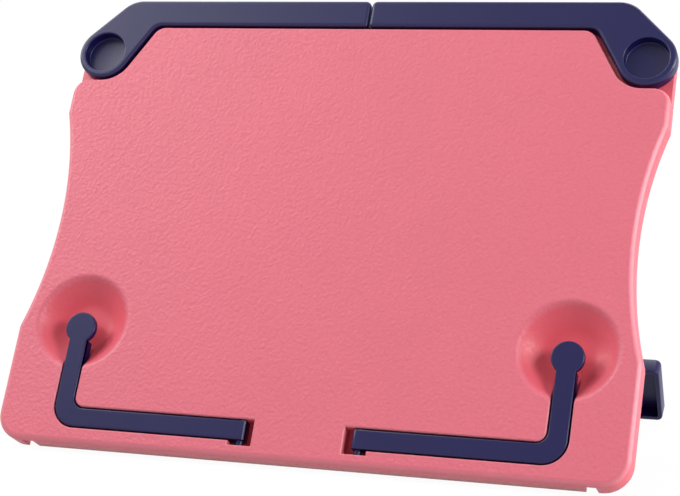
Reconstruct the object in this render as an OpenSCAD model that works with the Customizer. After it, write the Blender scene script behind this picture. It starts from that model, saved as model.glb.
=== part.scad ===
// Folding bookstand rack: a reading board with swing-out side arms, sprung page clips
// and a rear leg that a forked stay holds open.
// The board leans back about its bottom edge. Board frame: x to the right, y up the board
// from its bottom edge, z out of the reading face, which is z = 0.

/* [Board] */
// Width of the board
board_w = 302; // [290:1:330]
// Height of the reading face
board_h = 219; // [210:0.2:235]
// Depth of the board from the reading face to the back rim
board_t = 11; // [10:0.25:13]
// How far the ledge behind the arms stands out past the reading face
ledge_w = 4; // [2:0.25:5]
// Thickness of the plate behind the reading face
face_t = 2.4; // [1.8:0.1:3.2]
// Thickness of the board's edge walls
wall_t = 2; // [1.6:0.1:2.6]
// How far the board leans back from upright, in degrees
lean = 29.3; // [24:0.1:34]
// Radius of the board's bottom corners
corner_r = 13; // [8:0.5:18]
// Rounding of the reading face's side and bottom edges
edge_r = 2.4; // [1:0.1:2.8]
// Rounding of the reading face's top edge
top_edge_r = 0.9; // [0.4:0.1:1.6]
// How deep each side scoops in at the waist
scoop_d = 8.75; // [5:0.25:12]
// Distance of the waist below the steps in the reading face
waist_drop = 76; // [70:0.5:82]
// Radius of the scooped side
scoop_r = 190; // [150:5:230]
// Rounding of the hip below the scoop
hip_r = 9; // [5:0.5:12]

/* [Side arms] */
// Height of the arms' pivots above the board's bottom edge
disc_v = 204.7; // [202:0.1:207]
// Distance of each pivot in from the board's side
disc_in = 13.2; // [12:0.2:16]
// Radius of the round end of an arm
disc_r = 14; // [13:0.1:15]
// Radius of the finger recess
recess_r = 10.6; // [8:0.1:11]
// Depth of the finger recess
recess_d = 5.4; // [4.2:0.1:5.6]
// Thickness of an arm
arm_t = 6.8; // [6.6:0.1:7.2]
// Height of the arm's straight bar
bar_w = 14; // [11:0.1:15]
// Gap between the two bars at the middle
bar_split = 1.5; // [1:0.1:4]
// Rounding of the upper corner at the end of an arm's bar
tip_r = 2.5; // [2:0.1:5]
// Rounding of the arm's outer bend
bend_r = 14; // [12:1:24]
// Radius of the hub that turns in the lug
hub_r = 5; // [4:0.1:6]

/* [Page clips] */
// Width of a clip's legs
clip_w = 8.9; // [8:0.1:11]
// Thickness of a clip
clip_t = 7; // [6:0.1:7.2]
// Height of the clip's lower edge above the board's bottom edge
clip_v = 8.25; // [7.8:0.05:9]
// Distance of a clip's hinge axis from the board's middle
clip_hinge_x = 28.3; // [22:0.1:40]
// Length of a clip's end past its hinge axis
clip_tail = 2.6; // [2.4:0.1:2.8]
// Distance of a clip's outer edge in from the board's side
clip_in = 28.4; // [24:0.2:34]
// Outer radius of the clip's bend
clip_bend_r = 11; // [10.8:0.1:14]
// Radius of the knob
knob_r = 7.6; // [6:0.1:9]
// Thickness of the knob
knob_t = 3; // [2:0.1:5]
// Height of the knob's centre
knob_v = 57.1; // [50:0.2:62]
// Radius of the clip's hinge pin
clip_pin_r = 0.9; // [0.7:0.05:1]
// Radius of the spring wire
wire_r = 0.3; // [0.25:0.01:0.34]
// Turns of the torsion spring
spring_turns = 4; // [3:1:4]

/* [Finger dishes] */
// Radius of a dish at the reading face
dish_r = 23.3; // [20:0.1:25]
// Depth of a dish, which is flat at the bottom
dish_d = 8.2; // [7.8:0.1:8.6]
// Radius of the ball that a dish's wall is part of
dish_ball_r = 32; // [29:0.5:38]
// Height of a dish's centre
dish_v = 60.3; // [56:0.1:64]
// Distance of a dish's centre in from the board's side
dish_in = 33; // [31:0.2:38]

/* [Leg] */
// Height of the leg's hinge above the board's bottom edge
leg_v = 150; // [147:0.5:156]
// Depth of the leg's hinge axis behind the reading face
axis_d = 13.6; // [13.4:0.05:14]
// Length of the leg from the hinge axis to the foot's rim
leg_len = 149; // [140:0.5:149.5]
// Depth of the leg's shell
leg_t = 9.3; // [9.2:0.1:11]
// Thickness of the leg's plate and walls
leg_wall = 2.2; // [1.8:0.1:2.2]
// Half width of the leg's stem
stem_x = 46; // [42:0.5:60]
// Half length of the foot bar
foot_x = 139.8; // [120:0.1:145]
// Height of the foot bar
foot_w = 33; // [26:0.5:40]
// Radius of the inside corners between the stem and the foot bar
crotch_r = 22; // [8:1:30]
// Radius of the leg's hinge pins
leg_pin_r = 1.5; // [1.2:0.05:2]
// Radius of the leg's hinge barrels
barrel_r = 3.8; // [3.4:0.1:4]

/* [Stay] */
// Distance of the stay's pins from the leg's axis, which is the stay's length too
stay_len = 62; // [58:0.5:66]
// Width of one arm of the stay
stay_arm_w = 5.5; // [4:0.1:6]
// Thickness of the stay
stay_t = 5; // [4:0.1:5.4]
// Half width of the window between the stay's arms
stay_gap = 14; // [13:0.5:16]
// Radius of the steel cross bar
bar_r = 1.75; // [1.5:0.05:1.8]
// Half width of the notched rack
rack_x = 11; // [8:0.5:12]
// Number of notches
notch_count = 4; // [2:1:5]
// Change of the leg's opening from notch to notch, in degrees
notch_step = 6; // [6:0.5:8]

/* [Fits] */
// Running clearance round a pin or hub
run_gap = 0.05; // [0.02:0.01:0.09]
// Clearance between pieces that move past each other
move_gap = 0.35; // [0.3:0.01:0.5]
// Clearance round a clip in its trough
trough_gap = 0.8; // [0.5:0.05:1]
// Gap between an arm and the step in the reading face
arm_gap = 1.4; // [1:0.1:2]
// Gap between the arms' bars and the board's top edge
bar_gap = 1.2; // [1:0.1:2]

/* [Hidden] */

$fn = 64;
pink = "#e8707f";
navy = "#34345e";
steel = "#b8bcc2";

// Board outline
half_w = board_w / 2;
disc_x = half_w - disc_in;
step_r = disc_r + arm_gap;
step_v = disc_v - step_r;
waist_v = step_v - waist_drop;
scoop_cx = half_w - scoop_d + scoop_r;
hip_x = half_w - hip_r;
hip_y = waist_v - sqrt(pow(scoop_r + hip_r, 2) - pow(scoop_cx - hip_x, 2));
hip_a = atan2(waist_v - hip_y, scoop_cx - hip_x);
brow_r = 3;
brow_x = half_w - brow_r;
brow_y = waist_v + sqrt(pow(scoop_r + brow_r, 2) - pow(scoop_cx - brow_x, 2));
brow_a = atan2(brow_y - waist_v, scoop_cx - brow_x);
shoulder_r = 8;
// The step's straight side leans this far from upright
step_a = 30.2;
head_r = 7;
head_x = disc_x - (step_r + head_r + sin(step_a) * (board_h - head_r - disc_v)) / cos(step_a);
// The side walls' slots in the bottom edge
slot_w = 5.5;
slot_x = half_w - 17;
slot_h = 3.2;

// Arm outline
bar_v = board_h + bar_gap;
bar_top = bar_v + bar_w;
bend_x = disc_x + disc_r / sin(45) - (bar_top - disc_v) - bend_r * tan(22.5);
inner_r = 6;
tip_low_r = 1.2;
inner_x = disc_x - (disc_r + sin(step_a) * (bar_v - disc_v)) / cos(step_a);
arm_slot_d = 4.4;
arm_rim = 1.8;
washer_r = 8;
washer_t = 1;
screw_r = 1.6;
screw_head_r = 4.2;
screw_head_t = 1.8;
cross_len = 4.4;
cross_w = 0.8;
arm_rib_t = 1.4;
arm_rib_step = 22;
lug_top = -(arm_t + run_gap);

// Clips
clip_top = clip_v + clip_w;
clip_out_x = half_w - clip_in;
clip_in_x = clip_out_x - clip_w;
clip_inner_r = 5.5;
clip_axis_d = clip_t / 2;
clip_end_r = 1.5;
clip_boss_r = 1.9;
clip_end_gap = 4;
knob_x = clip_out_x - clip_w / 2;
// The upright is thick up to this far inside the knob's edge
knob_lap = 1.5;
trough_d = clip_t + 0.6;
trough_floor = 1.6;
trough_wall = 1.6;
trough_end_x = clip_hinge_x - clip_tail - clip_end_gap;
pin_pocket_w = 11.5;
pin_pocket_v = clip_v - 2.8;
clip_pin_from = 1;
clip_pin_to = clip_top + 3.4;
spring_r = 1.4;
spring_bore_r = 1.9;
spring_bore_h = 4.2;
spring_pitch = (spring_bore_h - 2 * wire_r - 0.5) / spring_turns;
tang_len = 2.6;
dish_x = half_w - dish_in;
dish_lift = sqrt(dish_ball_r * dish_ball_r - dish_r * dish_r);
dish_skin = face_t - 0.5;

// Leg
leg_in = axis_d - board_t - move_gap;
leg_out = leg_t - leg_in;
stem_top = 7;
axis_z = board_lift(leg_v, -axis_d);
leg_a = atan2(leg_in, leg_len) + acos(axis_z / norm([leg_in, leg_len]));
open_a = lean + leg_a;
ear_t = 3.5;
ear_r = 3.6;
ear_foot = 10;
barrel_w = 11.2;
hinge_x = stem_x - barrel_w / 2 - 0.4;
foot_end_r = 3;
leg_rib_t = 2.6;
foot_ribs = [70, 105];
foot_rib_t = 1.6;
leg_rib_x = stay_gap + stay_arm_w + 0.5;
ear_axis_r = 3.2;

// Stay and rack
stay_end_r = 3.1;
stay_pin_r = 1.5;
web_from = 18;
web_len = 24;
web_t = 2.2;
web_edge = 2;
notch_r = bar_r + move_gap;
rack_lip_d = axis_d + leg_out - leg_wall - move_gap;
rest_v = leg_v - 2 * stay_len * cos(open_a);
rack_from = rest_v - notch_r - 2.2;
rack_to = notch_height(notch_count - 1) + notch_r + 3.5;
notch_mouth = 2.4;
rest_mouth = 12;
rib_d = 8;
rib_t = 1.6;
rib_foot_v = 24;
upright_ribs = [-120, -90, -60, -30, 30, 60, 90, 120];
level_ribs = [28, 84.5, 113, 141.5, 170, 198];

// Height of notch i up the board
function notch_height(i) = leg_v - 2 * stay_len * cos(open_a + notch_step * i);
// Height above the ground of a point of the board frame
function board_lift(v, z) = board_t * sin(lean) + v * cos(lean) + z * sin(lean);
// Distance behind the board's front bottom edge of a point of the board frame
function board_back(v, z) = v * sin(lean) - z * cos(lean);
// The model stands centred on its own footprint
depth_min = board_back(0, 0);
depth_max = board_back(leg_v, -axis_d) + leg_len * sin(leg_a) + leg_out * cos(leg_a);
origin_y = (depth_min + depth_max) / 2;

function arc(cx, cy, r, a0, a1, n) =
    [for (i = [0:n]) let (a = a0 + (a1 - a0) * i / n) [cx + r * cos(a), cy + r * sin(a)]];

// Right half of the reading face's outline, drawn in by side on the sides and bottom
// and by top on the stepped top edge
function face_half(side, top) = concat(
    arc(half_w - corner_r, corner_r, corner_r - side, -90, 0, 8),
    arc(hip_x, hip_y, hip_r - side, 0, hip_a, 4),
    arc(scoop_cx, waist_v, scoop_r + side, 180 + hip_a - 3, 180 - brow_a + 3, 12),
    arc(brow_x, brow_y, brow_r - side, -brow_a, 0, 2),
    [for (i = [0:6]) let (a = i * 15, r = shoulder_r - side - (top - side) * i / 6)
        [half_w - shoulder_r + r * cos(a), step_v - shoulder_r + r * sin(a)]],
    arc(disc_x, disc_v, step_r + top, 270, 180 + step_a, 6),
    arc(head_x, board_h - head_r, head_r - top, step_a, 90, 5));

function mirrored(half) = concat(half,
    [for (i = [len(half) - 1:-1:0]) [-half[i][0], half[i][1]]]);

function face_outline(side, top) = mirrored(face_half(side, top));

// A prism through a stack of rings with the same number of points
module ringed(rings) {
    n = len(rings[0]);
    m = len(rings);
    polyhedron(
        points = [for (ring = rings) for (p = ring) p],
        faces = concat(
            [[for (i = [0:n - 1]) i]],
            [for (k = [0:m - 2]) for (i = [0:n - 1]) let (j = (i + 1) % n)
                [k * n + i, (k + 1) * n + i, (k + 1) * n + j, k * n + j]],
            [[for (i = [n - 1:-1:0]) (m - 1) * n + i]]));
}

function at_height(outline, z) = [for (p = outline) [p[0], p[1], z]];

// Places the board frame at its lean over the ground
module on_board() {
    translate([0, -origin_y, board_t * sin(lean)]) rotate([90 - lean, 0, 0]) children();
}

// Both sides of the board
module both_sides() {
    children();
    mirror([1, 0, 0]) children();
}

// ---------------------------------------------------------------- board

module face_shell() {
    steps = 4;
    rounded = [for (k = [steps:-1:0]) let (a = 90 * k / steps)
        at_height(face_outline(edge_r * (1 - sin(a)), top_edge_r * (1 - sin(a))),
            -edge_r * (1 - cos(a)))];
    difference() {
        intersection() {
            ringed(concat([at_height(face_outline(0, 0), -board_t - 1)], rounded,
                [at_height(face_outline(edge_r, top_edge_r), 1)]));
            translate([-half_w - 1, -1, -board_t])
                cube([2 * half_w + 2, board_h + 2, board_t]);
        }
        translate([0, 0, -board_t - 1]) linear_extrude(board_t + 1 - face_t)
            polygon(face_outline(wall_t, wall_t));
    }
}

// Ledge behind the arms, which closes the gap between them and the reading face
module ledge() {
    translate([0, 0, -board_t]) linear_extrude(board_t - arm_t - move_gap) difference() {
        intersection() {
            polygon(face_outline(wall_t / 2, -ledge_w));
            translate([-half_w, step_v - shoulder_r]) square([2 * half_w, board_h]);
        }
        polygon(face_outline(wall_t * 3 / 4, wall_t / 2));
    }
}

// Pad behind an arm's round end, on which the arm turns
module lug() {
    reach = step_r + wall_t / 2;
    foot = [disc_x - reach * cos(step_a), disc_v - reach * sin(step_a)];
    side = [disc_in * sin(step_a), -disc_in * cos(step_a)];
    translate([0, 0, -board_t]) linear_extrude(board_t + lug_top) polygon(concat(
        [[half_w, brow_y]],
        arc(disc_x, disc_v, disc_in, 0, 90 + step_a, 14),
        [foot - side, foot + side, [disc_x - disc_in / 2, brow_y]]));
}

// Outline of a right-hand clip from its hinge to its knob, grown by g
function clip_path(g) = concat(
    arc(clip_out_x - clip_bend_r, clip_v + clip_bend_r, clip_bend_r + g, -90, 0, 8),
    [[clip_out_x + g, knob_v], [clip_in_x - g, knob_v]],
    arc(clip_in_x - clip_inner_r, clip_top + clip_inner_r, clip_inner_r - g, 0, -90, 5));

module clip_shape() {
    polygon(concat([[clip_hinge_x, clip_v]], clip_path(0), [[clip_hinge_x, clip_top]]));
}

// The clip's trough with the pocket that shows its pin, grown by g
module trough_shape(g) {
    gap = trough_gap + g;
    end_x = trough_end_x - g;
    pocket_x = trough_end_x + pin_pocket_w + g;
    polygon(concat(
        [[end_x, pin_pocket_v - g], [pocket_x, pin_pocket_v - g], [pocket_x, clip_v - gap]],
        clip_path(gap),
        [[end_x, clip_top + gap]]));
}

// A dish's bowl, made bigger all round by g
module bowl(g) {
    reach = dish_r + g + 4;
    intersection() {
        translate([dish_x, dish_v, dish_lift]) sphere(dish_ball_r + g, $fn = 72);
        translate([dish_x - reach, dish_v - reach, -dish_d - g])
            cube([2 * reach, 2 * reach, dish_d + g + 2]);
    }
}

// Walls behind the reading face that carry the clip's trough, its pin and the dish
module clip_housing() {
    translate([0, 0, -trough_d - trough_floor]) linear_extrude(trough_d + trough_floor - 1)
        trough_shape(trough_wall);
    intersection() {
        bowl(dish_skin);
        translate([0, 0, -board_t]) linear_extrude(board_t - 1)
            polygon(face_outline(wall_t / 2, wall_t / 2));
    }
    translate([trough_end_x - trough_wall, 1, -trough_d - trough_floor])
        cube([pin_pocket_w + 2 * trough_wall, pin_pocket_v, trough_d + trough_floor - 1]);
    translate([trough_end_x - trough_wall, clip_top, -trough_d - trough_floor])
        cube([2 * spring_r + clip_t + 2, clip_pin_to - clip_top + 2, trough_d + trough_floor - 1]);
}

module clip_cuts() {
    translate([0, 0, -trough_d]) linear_extrude(trough_d + 1) trough_shape(0);
    bowl(0);
    translate([clip_hinge_x, -1, -clip_axis_d]) rotate([-90, 0, 0])
        cylinder(r = clip_pin_r, h = clip_pin_to + 1);
    translate([clip_hinge_x + spring_r, clip_top, -clip_axis_d]) rotate([-90, 0, 0])
        cylinder(r = wire_r + 0.12, h = tang_len + 0.6);
}

// Ears on the board's back that hold a leg pin, each on a short rib
module leg_ears() {
    for (side = [-1, 1])
        translate([hinge_x + side * (barrel_w / 2 + move_gap + ear_t / 2) - ear_t / 2, leg_v, 0])
            rotate([90, 0, 90]) linear_extrude(ear_t) polygon(concat(
                [[-ear_r - ear_foot, -1], [-ear_r - ear_foot, -rib_d], [-ear_r, -rib_d]],
                arc(0, -axis_d, ear_r, 180, 360, 12),
                [[ear_r, -rib_d], [ear_r + ear_foot, -rib_d], [ear_r + ear_foot, -1]]));
}

// Hooked rack: each notch opens down the board and its lip holds the stay's bar in
module rack() {
    difference() {
        translate([-rack_x, rack_from, -rack_lip_d])
            cube([2 * rack_x, rack_to - rack_from, rack_lip_d - 1]);
        for (i = [0:notch_count - 1]) translate([0, notch_height(i), -axis_d]) {
            rotate([0, 90, 0]) cylinder(r = notch_r, h = 3 * rack_x, center = true);
            mouth = i == 0 ? rest_mouth : notch_r + notch_mouth;
            translate([-1.5 * rack_x, -mouth, -notch_r]) cube([3 * rack_x, mouth, 2 * notch_r]);
            translate([-1.5 * rack_x, -mouth, -rack_lip_d])
                cube([3 * rack_x, mouth - notch_r - 0.3, rack_lip_d - axis_d + 1]);
        }
    }
}

module ribs() {
    intersection() {
        translate([0, 0, -rib_d]) linear_extrude(rib_d - 1) {
            for (x = upright_ribs)
                translate([x - rib_t / 2, rib_foot_v]) square([rib_t, board_h]);
            for (v = level_ribs)
                translate([-board_w, v - rib_t / 2]) square([2 * board_w, rib_t]);
        }
        translate([0, 0, -board_t]) linear_extrude(board_t)
            polygon(face_outline(wall_t / 2, wall_t / 2));
    }
}

module board() {
    color(pink) on_board() difference() {
        union() {
            face_shell();
            ledge();
            ribs();
            rack();
            both_sides() {
                lug();
                clip_housing();
                leg_ears();
            }
        }
        both_sides() {
            clip_cuts();
            translate([disc_x, disc_v, -board_t - 1]) cylinder(r = hub_r + run_gap, h = board_t);
            translate([hinge_x, leg_v, -axis_d]) rotate([0, 90, 0])
                cylinder(r = leg_pin_r, h = 2 * barrel_w, center = true);
            translate([slot_x - slot_w / 2, -1, -board_t - 1])
                cube([slot_w, slot_h + 1, board_t - face_t + 1]);
        }
    }
}

// ---------------------------------------------------------------- side arms

module arm_shape(g) {
    circle_r = disc_r - g;
    upper_r = max(tip_r - g, 0.3);
    lower_r = max(tip_low_r - g, 0.3);
    end_x = bar_split / 2 + g;
    translate([disc_x, disc_v]) circle(circle_r);
    polygon(concat(
        [[disc_x + circle_r * cos(45), disc_v + circle_r * sin(45)]],
        arc(bend_x, bar_top - bend_r, bend_r - g, 45, 90, 8),
        arc(end_x + upper_r, bar_top - g - upper_r, upper_r, 90, 180, 5),
        arc(end_x + lower_r, bar_v + g + lower_r, lower_r, 180, 270, 3),
        arc(inner_x - inner_r * tan((90 - step_a) / 2), bar_v - inner_r, inner_r + g,
            90, step_a, 5),
        [[disc_x - circle_r * cos(step_a), disc_v - circle_r * sin(step_a)]]));
}

module arm_right() {
    hub_len = board_t - arm_t - 0.1;
    difference() {
        union() {
            difference() {
                translate([0, 0, -arm_t]) linear_extrude(arm_t) arm_shape(0);
                difference() {
                    translate([0, 0, -arm_t - 1]) linear_extrude(arm_slot_d + 1)
                        arm_shape(arm_rim);
                    translate([disc_x, disc_v, -arm_t - 1]) cylinder(r = disc_r, h = arm_t + 2);
                    for (x = [18:arm_rib_step:disc_x - disc_r]) translate([x, disc_v, -arm_t])
                        cube([arm_rib_t, bar_top - disc_v, arm_t]);
                }
            }
            translate([disc_x, disc_v, -arm_t - hub_len]) cylinder(r = hub_r, h = hub_len + 1);
        }
        translate([disc_x, disc_v, -recess_d]) cylinder(r = recess_r, h = recess_d + 1);
        translate([disc_x, disc_v, -arm_t - hub_len - 1]) cylinder(r = screw_r, h = hub_len);
    }
}

module washer_right() {
    translate([disc_x, disc_v, -board_t - washer_t]) difference() {
        cylinder(r = washer_r, h = washer_t);
        translate([0, 0, -1]) cylinder(r = screw_r + 0.3, h = washer_t + 2);
    }
}

module screw_right() {
    head_z = -board_t - washer_t;
    translate([disc_x, disc_v, head_z]) difference() {
        union() {
            cylinder(r = screw_r, h = washer_t + board_t - arm_t - 1.2);
            translate([0, 0, -screw_head_t]) cylinder(r1 = screw_head_r - 0.8, r2 = screw_head_r,
                h = screw_head_t, $fn = 64);
        }
        for (a = [0, 90]) rotate(a)
            translate([-cross_len / 2, -cross_w / 2, -screw_head_t - 1])
                cube([cross_len, cross_w, screw_head_t]);
    }
}

// ---------------------------------------------------------------- page clips

// The clip's rounded end and the boss below it, both round the hinge pin
module clip_end() {
    end_x = clip_hinge_x - clip_tail + clip_end_r;
    translate([0, clip_v, 0]) rotate([-90, 0, 0]) linear_extrude(clip_w) polygon(concat(
        arc(end_x, clip_t - clip_end_r, clip_end_r, 90, 180, 8),
        arc(end_x, clip_end_r, clip_end_r, 180, 270, 8),
        [[clip_hinge_x + clip_end_r, 0], [clip_hinge_x + clip_end_r, clip_t]]));
    translate([clip_hinge_x, pin_pocket_v + move_gap, -clip_axis_d]) rotate([-90, 0, 0])
        cylinder(r = clip_boss_r, h = clip_v - pin_pocket_v);
}

module clip_right() {
    difference() {
        union() {
            translate([0, 0, -clip_t]) linear_extrude(clip_t) clip_shape();
            translate([knob_x, knob_v, -knob_t]) cylinder(r = knob_r, h = knob_t);
            clip_end();
        }
        translate([clip_hinge_x, 0, -clip_axis_d]) rotate([-90, 0, 0])
            cylinder(r = clip_pin_r + run_gap, h = clip_top + 1);
        translate([clip_hinge_x, clip_top - spring_bore_h, -clip_axis_d]) rotate([-90, 0, 0])
            cylinder(r = spring_bore_r, h = spring_bore_h + 1);
        translate([knob_x - 2 * knob_r, knob_v - knob_r + knob_lap, -clip_t - 1])
            cube([4 * knob_r, 3 * knob_r, clip_t + 1 - knob_t]);
    }
}

module clip_pin_right() {
    translate([clip_hinge_x, clip_pin_from, -clip_axis_d]) rotate([-90, 0, 0])
        cylinder(r = clip_pin_r, h = clip_pin_to - clip_pin_from);
}

// One unbroken wire: a coil, and a straight tang that stands in the board
module clip_spring_right() {
    per_turn = 12;
    sides = 6;
    n = spring_turns * per_turn;
    coil = [for (i = [0:n]) let (a = 360 * i / per_turn)
        [spring_r * cos(a), spring_pitch * i / per_turn, spring_r * sin(a), a]];
    last = coil[n];
    rings = concat(
        [for (c = coil) [for (k = [0:sides - 1]) let (b = 360 * k / sides,
            r = spring_r + wire_r * cos(b))
            [r * cos(c[3]), c[1] + wire_r * sin(b), r * sin(c[3])]]],
        [for (h = [wire_r + 0.2, tang_len]) [for (k = [0:sides - 1]) let (b = 360 * k / sides)
            [last[0] + wire_r * cos(b), last[1] + h, last[2] - wire_r * sin(b)]]]);
    translate([clip_hinge_x, clip_top - spring_bore_h + wire_r + 0.25, -clip_axis_d])
        ringed(rings);
}

// ---------------------------------------------------------------- leg

// Leg frame: x to the right, y down the leg from the hinge axis, z away from the board
module on_leg() {
    on_board() translate([0, leg_v, -axis_d]) rotate([180 + open_a, 0, 0]) children();
}

module leg_shape(g) {
    bar_top_y = leg_len - foot_w;
    translate([-stem_x + g, stem_top + g]) square([2 * (stem_x - g), leg_len - stem_top - 2 * g]);
    for (side = [-1, 1]) scale([side, 1]) difference() {
        translate([stem_x - g - 1, bar_top_y + g - crotch_r])
            square([crotch_r + 1, crotch_r + 1]);
        translate([stem_x - g + crotch_r, bar_top_y + g - crotch_r]) circle(crotch_r);
    }
    corner = foot_end_r - min(g, foot_end_r - 0.5);
    for (x = [-foot_x + g + corner, foot_x - g - corner])
        for (y = [bar_top_y + g + corner, leg_len - g - corner])
            translate([x, y]) circle(corner);
    translate([-foot_x + g, bar_top_y + g + corner])
        square([2 * (foot_x - g), foot_w - 2 * (g + corner)]);
    translate([-foot_x + g + corner, bar_top_y + g])
        square([2 * (foot_x - g - corner), foot_w - 2 * g]);
}

module leg() {
    color(navy) on_leg() difference() {
        union() {
            difference() {
                translate([0, 0, -leg_in]) linear_extrude(leg_t) leg_shape(0);
                translate([0, 0, -leg_in - 1]) linear_extrude(leg_t + 1 - leg_wall)
                    leg_shape(leg_wall);
            }
            both_sides() {
                translate([leg_rib_x, stem_top, -leg_in])
                    cube([leg_rib_t, leg_len - stem_top - 1, leg_t - 1]);
                translate([leg_rib_x, stay_len, 0]) rotate([0, 90, 0])
                    cylinder(r = ear_axis_r, h = leg_rib_t);
                for (x = foot_ribs) translate([x, leg_len - foot_w + 1, 0])
                    cube([foot_rib_t, foot_w - 2, leg_out - 1]);
                translate([hinge_x - barrel_w / 2, 0, 0]) rotate([0, 90, 0])
                    cylinder(r = barrel_r, h = barrel_w);
                translate([hinge_x - barrel_w / 2, 0, -leg_in + 0.4])
                    cube([barrel_w, stem_top + 1, leg_in + barrel_r - 0.4]);
            }
        }
        both_sides() {
            translate([hinge_x, 0, 0]) rotate([0, 90, 0])
                cylinder(r = leg_pin_r + run_gap, h = 2 * barrel_w, center = true);
            translate([leg_rib_x - 1, stay_len, 0]) rotate([0, 90, 0])
                cylinder(r = stay_pin_r, h = leg_rib_t + 2);
        }
    }
}

module leg_pin_right() {
    pin_len = barrel_w + 2 * (move_gap + ear_t);
    translate([hinge_x - pin_len / 2, leg_v, -axis_d]) rotate([0, 90, 0])
        cylinder(r = leg_pin_r, h = pin_len);
}

// ---------------------------------------------------------------- stay

// Stay frame: y from the leg's pins to the cross bar, z as the leg's
module on_stay() {
    on_leg() translate([0, stay_len, 0]) rotate([-2 * open_a, 0, 0]) children();
}

module stay() {
    color(navy) on_stay() difference() {
        union() {
            both_sides() {
                translate([stay_gap, 0, -stay_t / 2]) cube([stay_arm_w, stay_len, stay_t]);
                for (y = [0, stay_len]) translate([stay_gap, y, 0]) rotate([0, 90, 0])
                    cylinder(r = stay_end_r, h = stay_arm_w);
            }
            translate([-stay_gap - 1, web_from, -web_t / 2])
                cube([2 * stay_gap + 2, web_len, web_t]);
            for (y = [web_from, web_from + web_len - web_edge]) translate([-stay_gap - 1, y, -stay_t / 2])
                cube([2 * stay_gap + 2, web_edge, stay_t]);
        }
        rotate([0, 90, 0])
            cylinder(r = stay_pin_r + run_gap, h = 4 * stay_gap, center = true);
        translate([0, stay_len, 0]) rotate([0, 90, 0])
            cylinder(r = bar_r, h = 2 * (stay_gap + stay_arm_w - 1), center = true);
    }
}

module stay_pin_right() {
    on_leg() translate([stay_gap + 0.5, stay_len, 0]) rotate([0, 90, 0])
        cylinder(r = stay_pin_r, h = leg_rib_x + leg_rib_t - stay_gap - 0.5);
}

module stay_bar() {
    bar_len = 2 * (stay_gap + stay_arm_w - 1);
    color(steel) on_stay() translate([-bar_len / 2, stay_len, 0]) rotate([0, 90, 0])
        cylinder(r = bar_r, h = bar_len);
}

module left() {
    mirror([1, 0, 0]) children();
}

board();
color(navy) on_board() left() arm_right();  // left_arm
color(navy) on_board() arm_right();  // right_arm
color(steel) on_board() left() washer_right();  // left_arm_washer
color(steel) on_board() washer_right();  // right_arm_washer
color(steel) on_board() left() screw_right();  // left_arm_screw
color(steel) on_board() screw_right();  // right_arm_screw
color(navy) on_board() left() clip_right();  // left_clip
color(navy) on_board() clip_right();  // right_clip
color(steel) on_board() left() clip_pin_right();  // left_clip_pin
color(steel) on_board() clip_pin_right();  // right_clip_pin
color(steel) on_board() left() clip_spring_right();  // left_clip_spring
color(steel) on_board() clip_spring_right();  // right_clip_spring
leg();
color(steel) on_board() left() leg_pin_right();  // left_leg_pin
color(steel) on_board() leg_pin_right();  // right_leg_pin
stay();
color(steel) left() stay_pin_right();  // left_stay_pin
color(steel) stay_pin_right();  // right_stay_pin
stay_bar();
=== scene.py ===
"""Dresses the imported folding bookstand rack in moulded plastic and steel, in a plain studio."""

import logging
import math
from dataclasses import dataclass, field
from enum import Enum
from typing import Callable, Iterable, Sequence, Union

import bmesh
import bpy
import numpy as np
from mathutils import Matrix, Vector
from mathutils.geometry import delaunay_2d_cdt


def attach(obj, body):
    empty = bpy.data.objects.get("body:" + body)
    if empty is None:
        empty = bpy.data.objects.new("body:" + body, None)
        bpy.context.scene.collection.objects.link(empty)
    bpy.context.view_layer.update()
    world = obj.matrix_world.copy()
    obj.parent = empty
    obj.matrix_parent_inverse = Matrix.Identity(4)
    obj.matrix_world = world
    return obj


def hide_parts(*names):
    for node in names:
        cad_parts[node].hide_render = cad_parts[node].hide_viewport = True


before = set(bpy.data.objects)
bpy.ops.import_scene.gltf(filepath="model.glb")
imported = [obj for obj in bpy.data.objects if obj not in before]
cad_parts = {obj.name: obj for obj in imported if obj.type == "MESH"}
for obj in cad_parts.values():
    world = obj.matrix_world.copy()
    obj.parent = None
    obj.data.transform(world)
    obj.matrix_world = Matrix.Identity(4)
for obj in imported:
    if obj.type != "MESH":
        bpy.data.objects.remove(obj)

Colour = tuple[float, float, float]
Loop = list[tuple[float, float]]
Path = Sequence[tuple[float, ...]]
Height = Union[float, Callable[[float, float], float]]

MM = 0.001
BOTH = (-1, 1)
WHITE = (1.0, 1.0, 1.0, 1.0)

# What the pieces' points carry: how worn an edge is, with painted sheen, how much grain it has
# against a smooth colour that carries painted shade, how thick a rod is.
WEAR_AND_SHEEN = "wear_and_sheen"
GRAINED_UNSHADED = "grained_unshaded"
GIRTH = "girth"
SOME_GRAIN_UNSHADED = 0.4

# Edges that turn by more degrees than these stay crisp: on most pieces, on bosses and screws,
# and on coiled wire.
CRISP = 38.0
CRISP_BOSS = 30.0
CRISP_WIRE = 60.0
# Edges that turn by more degrees than this get a rounding where a piece is softened.
HARD = 30.0

# In millimetres, how far ribs and blocks reach into the wall that carries them, and how far
# apart faces of two pieces are drawn that would otherwise share a plane.
ROOT = 1.0
HAIR = 0.05
FINE_HAIR = 0.02

log = logging.getLogger("bookstand")


class Side(Enum):
    """The two sides of the stand, as the reader sees them."""

    LEFT = -1
    RIGHT = 1

    @property
    def word(self) -> str:
        """The side's name as the nodes spell it."""
        return self.name.lower()

    @property
    def flip(self) -> bool:
        """Whether a drawing of the right side is turned over for this side."""
        return self is Side.LEFT


class Slot(Enum):
    """The record's material slots."""

    BOARD = "board_plastic"
    NAVY = "navy_plastic"
    STEEL = "steel"
    WIRE = "spring_wire"


# ------------------------------------------------------------------ node trees


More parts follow.
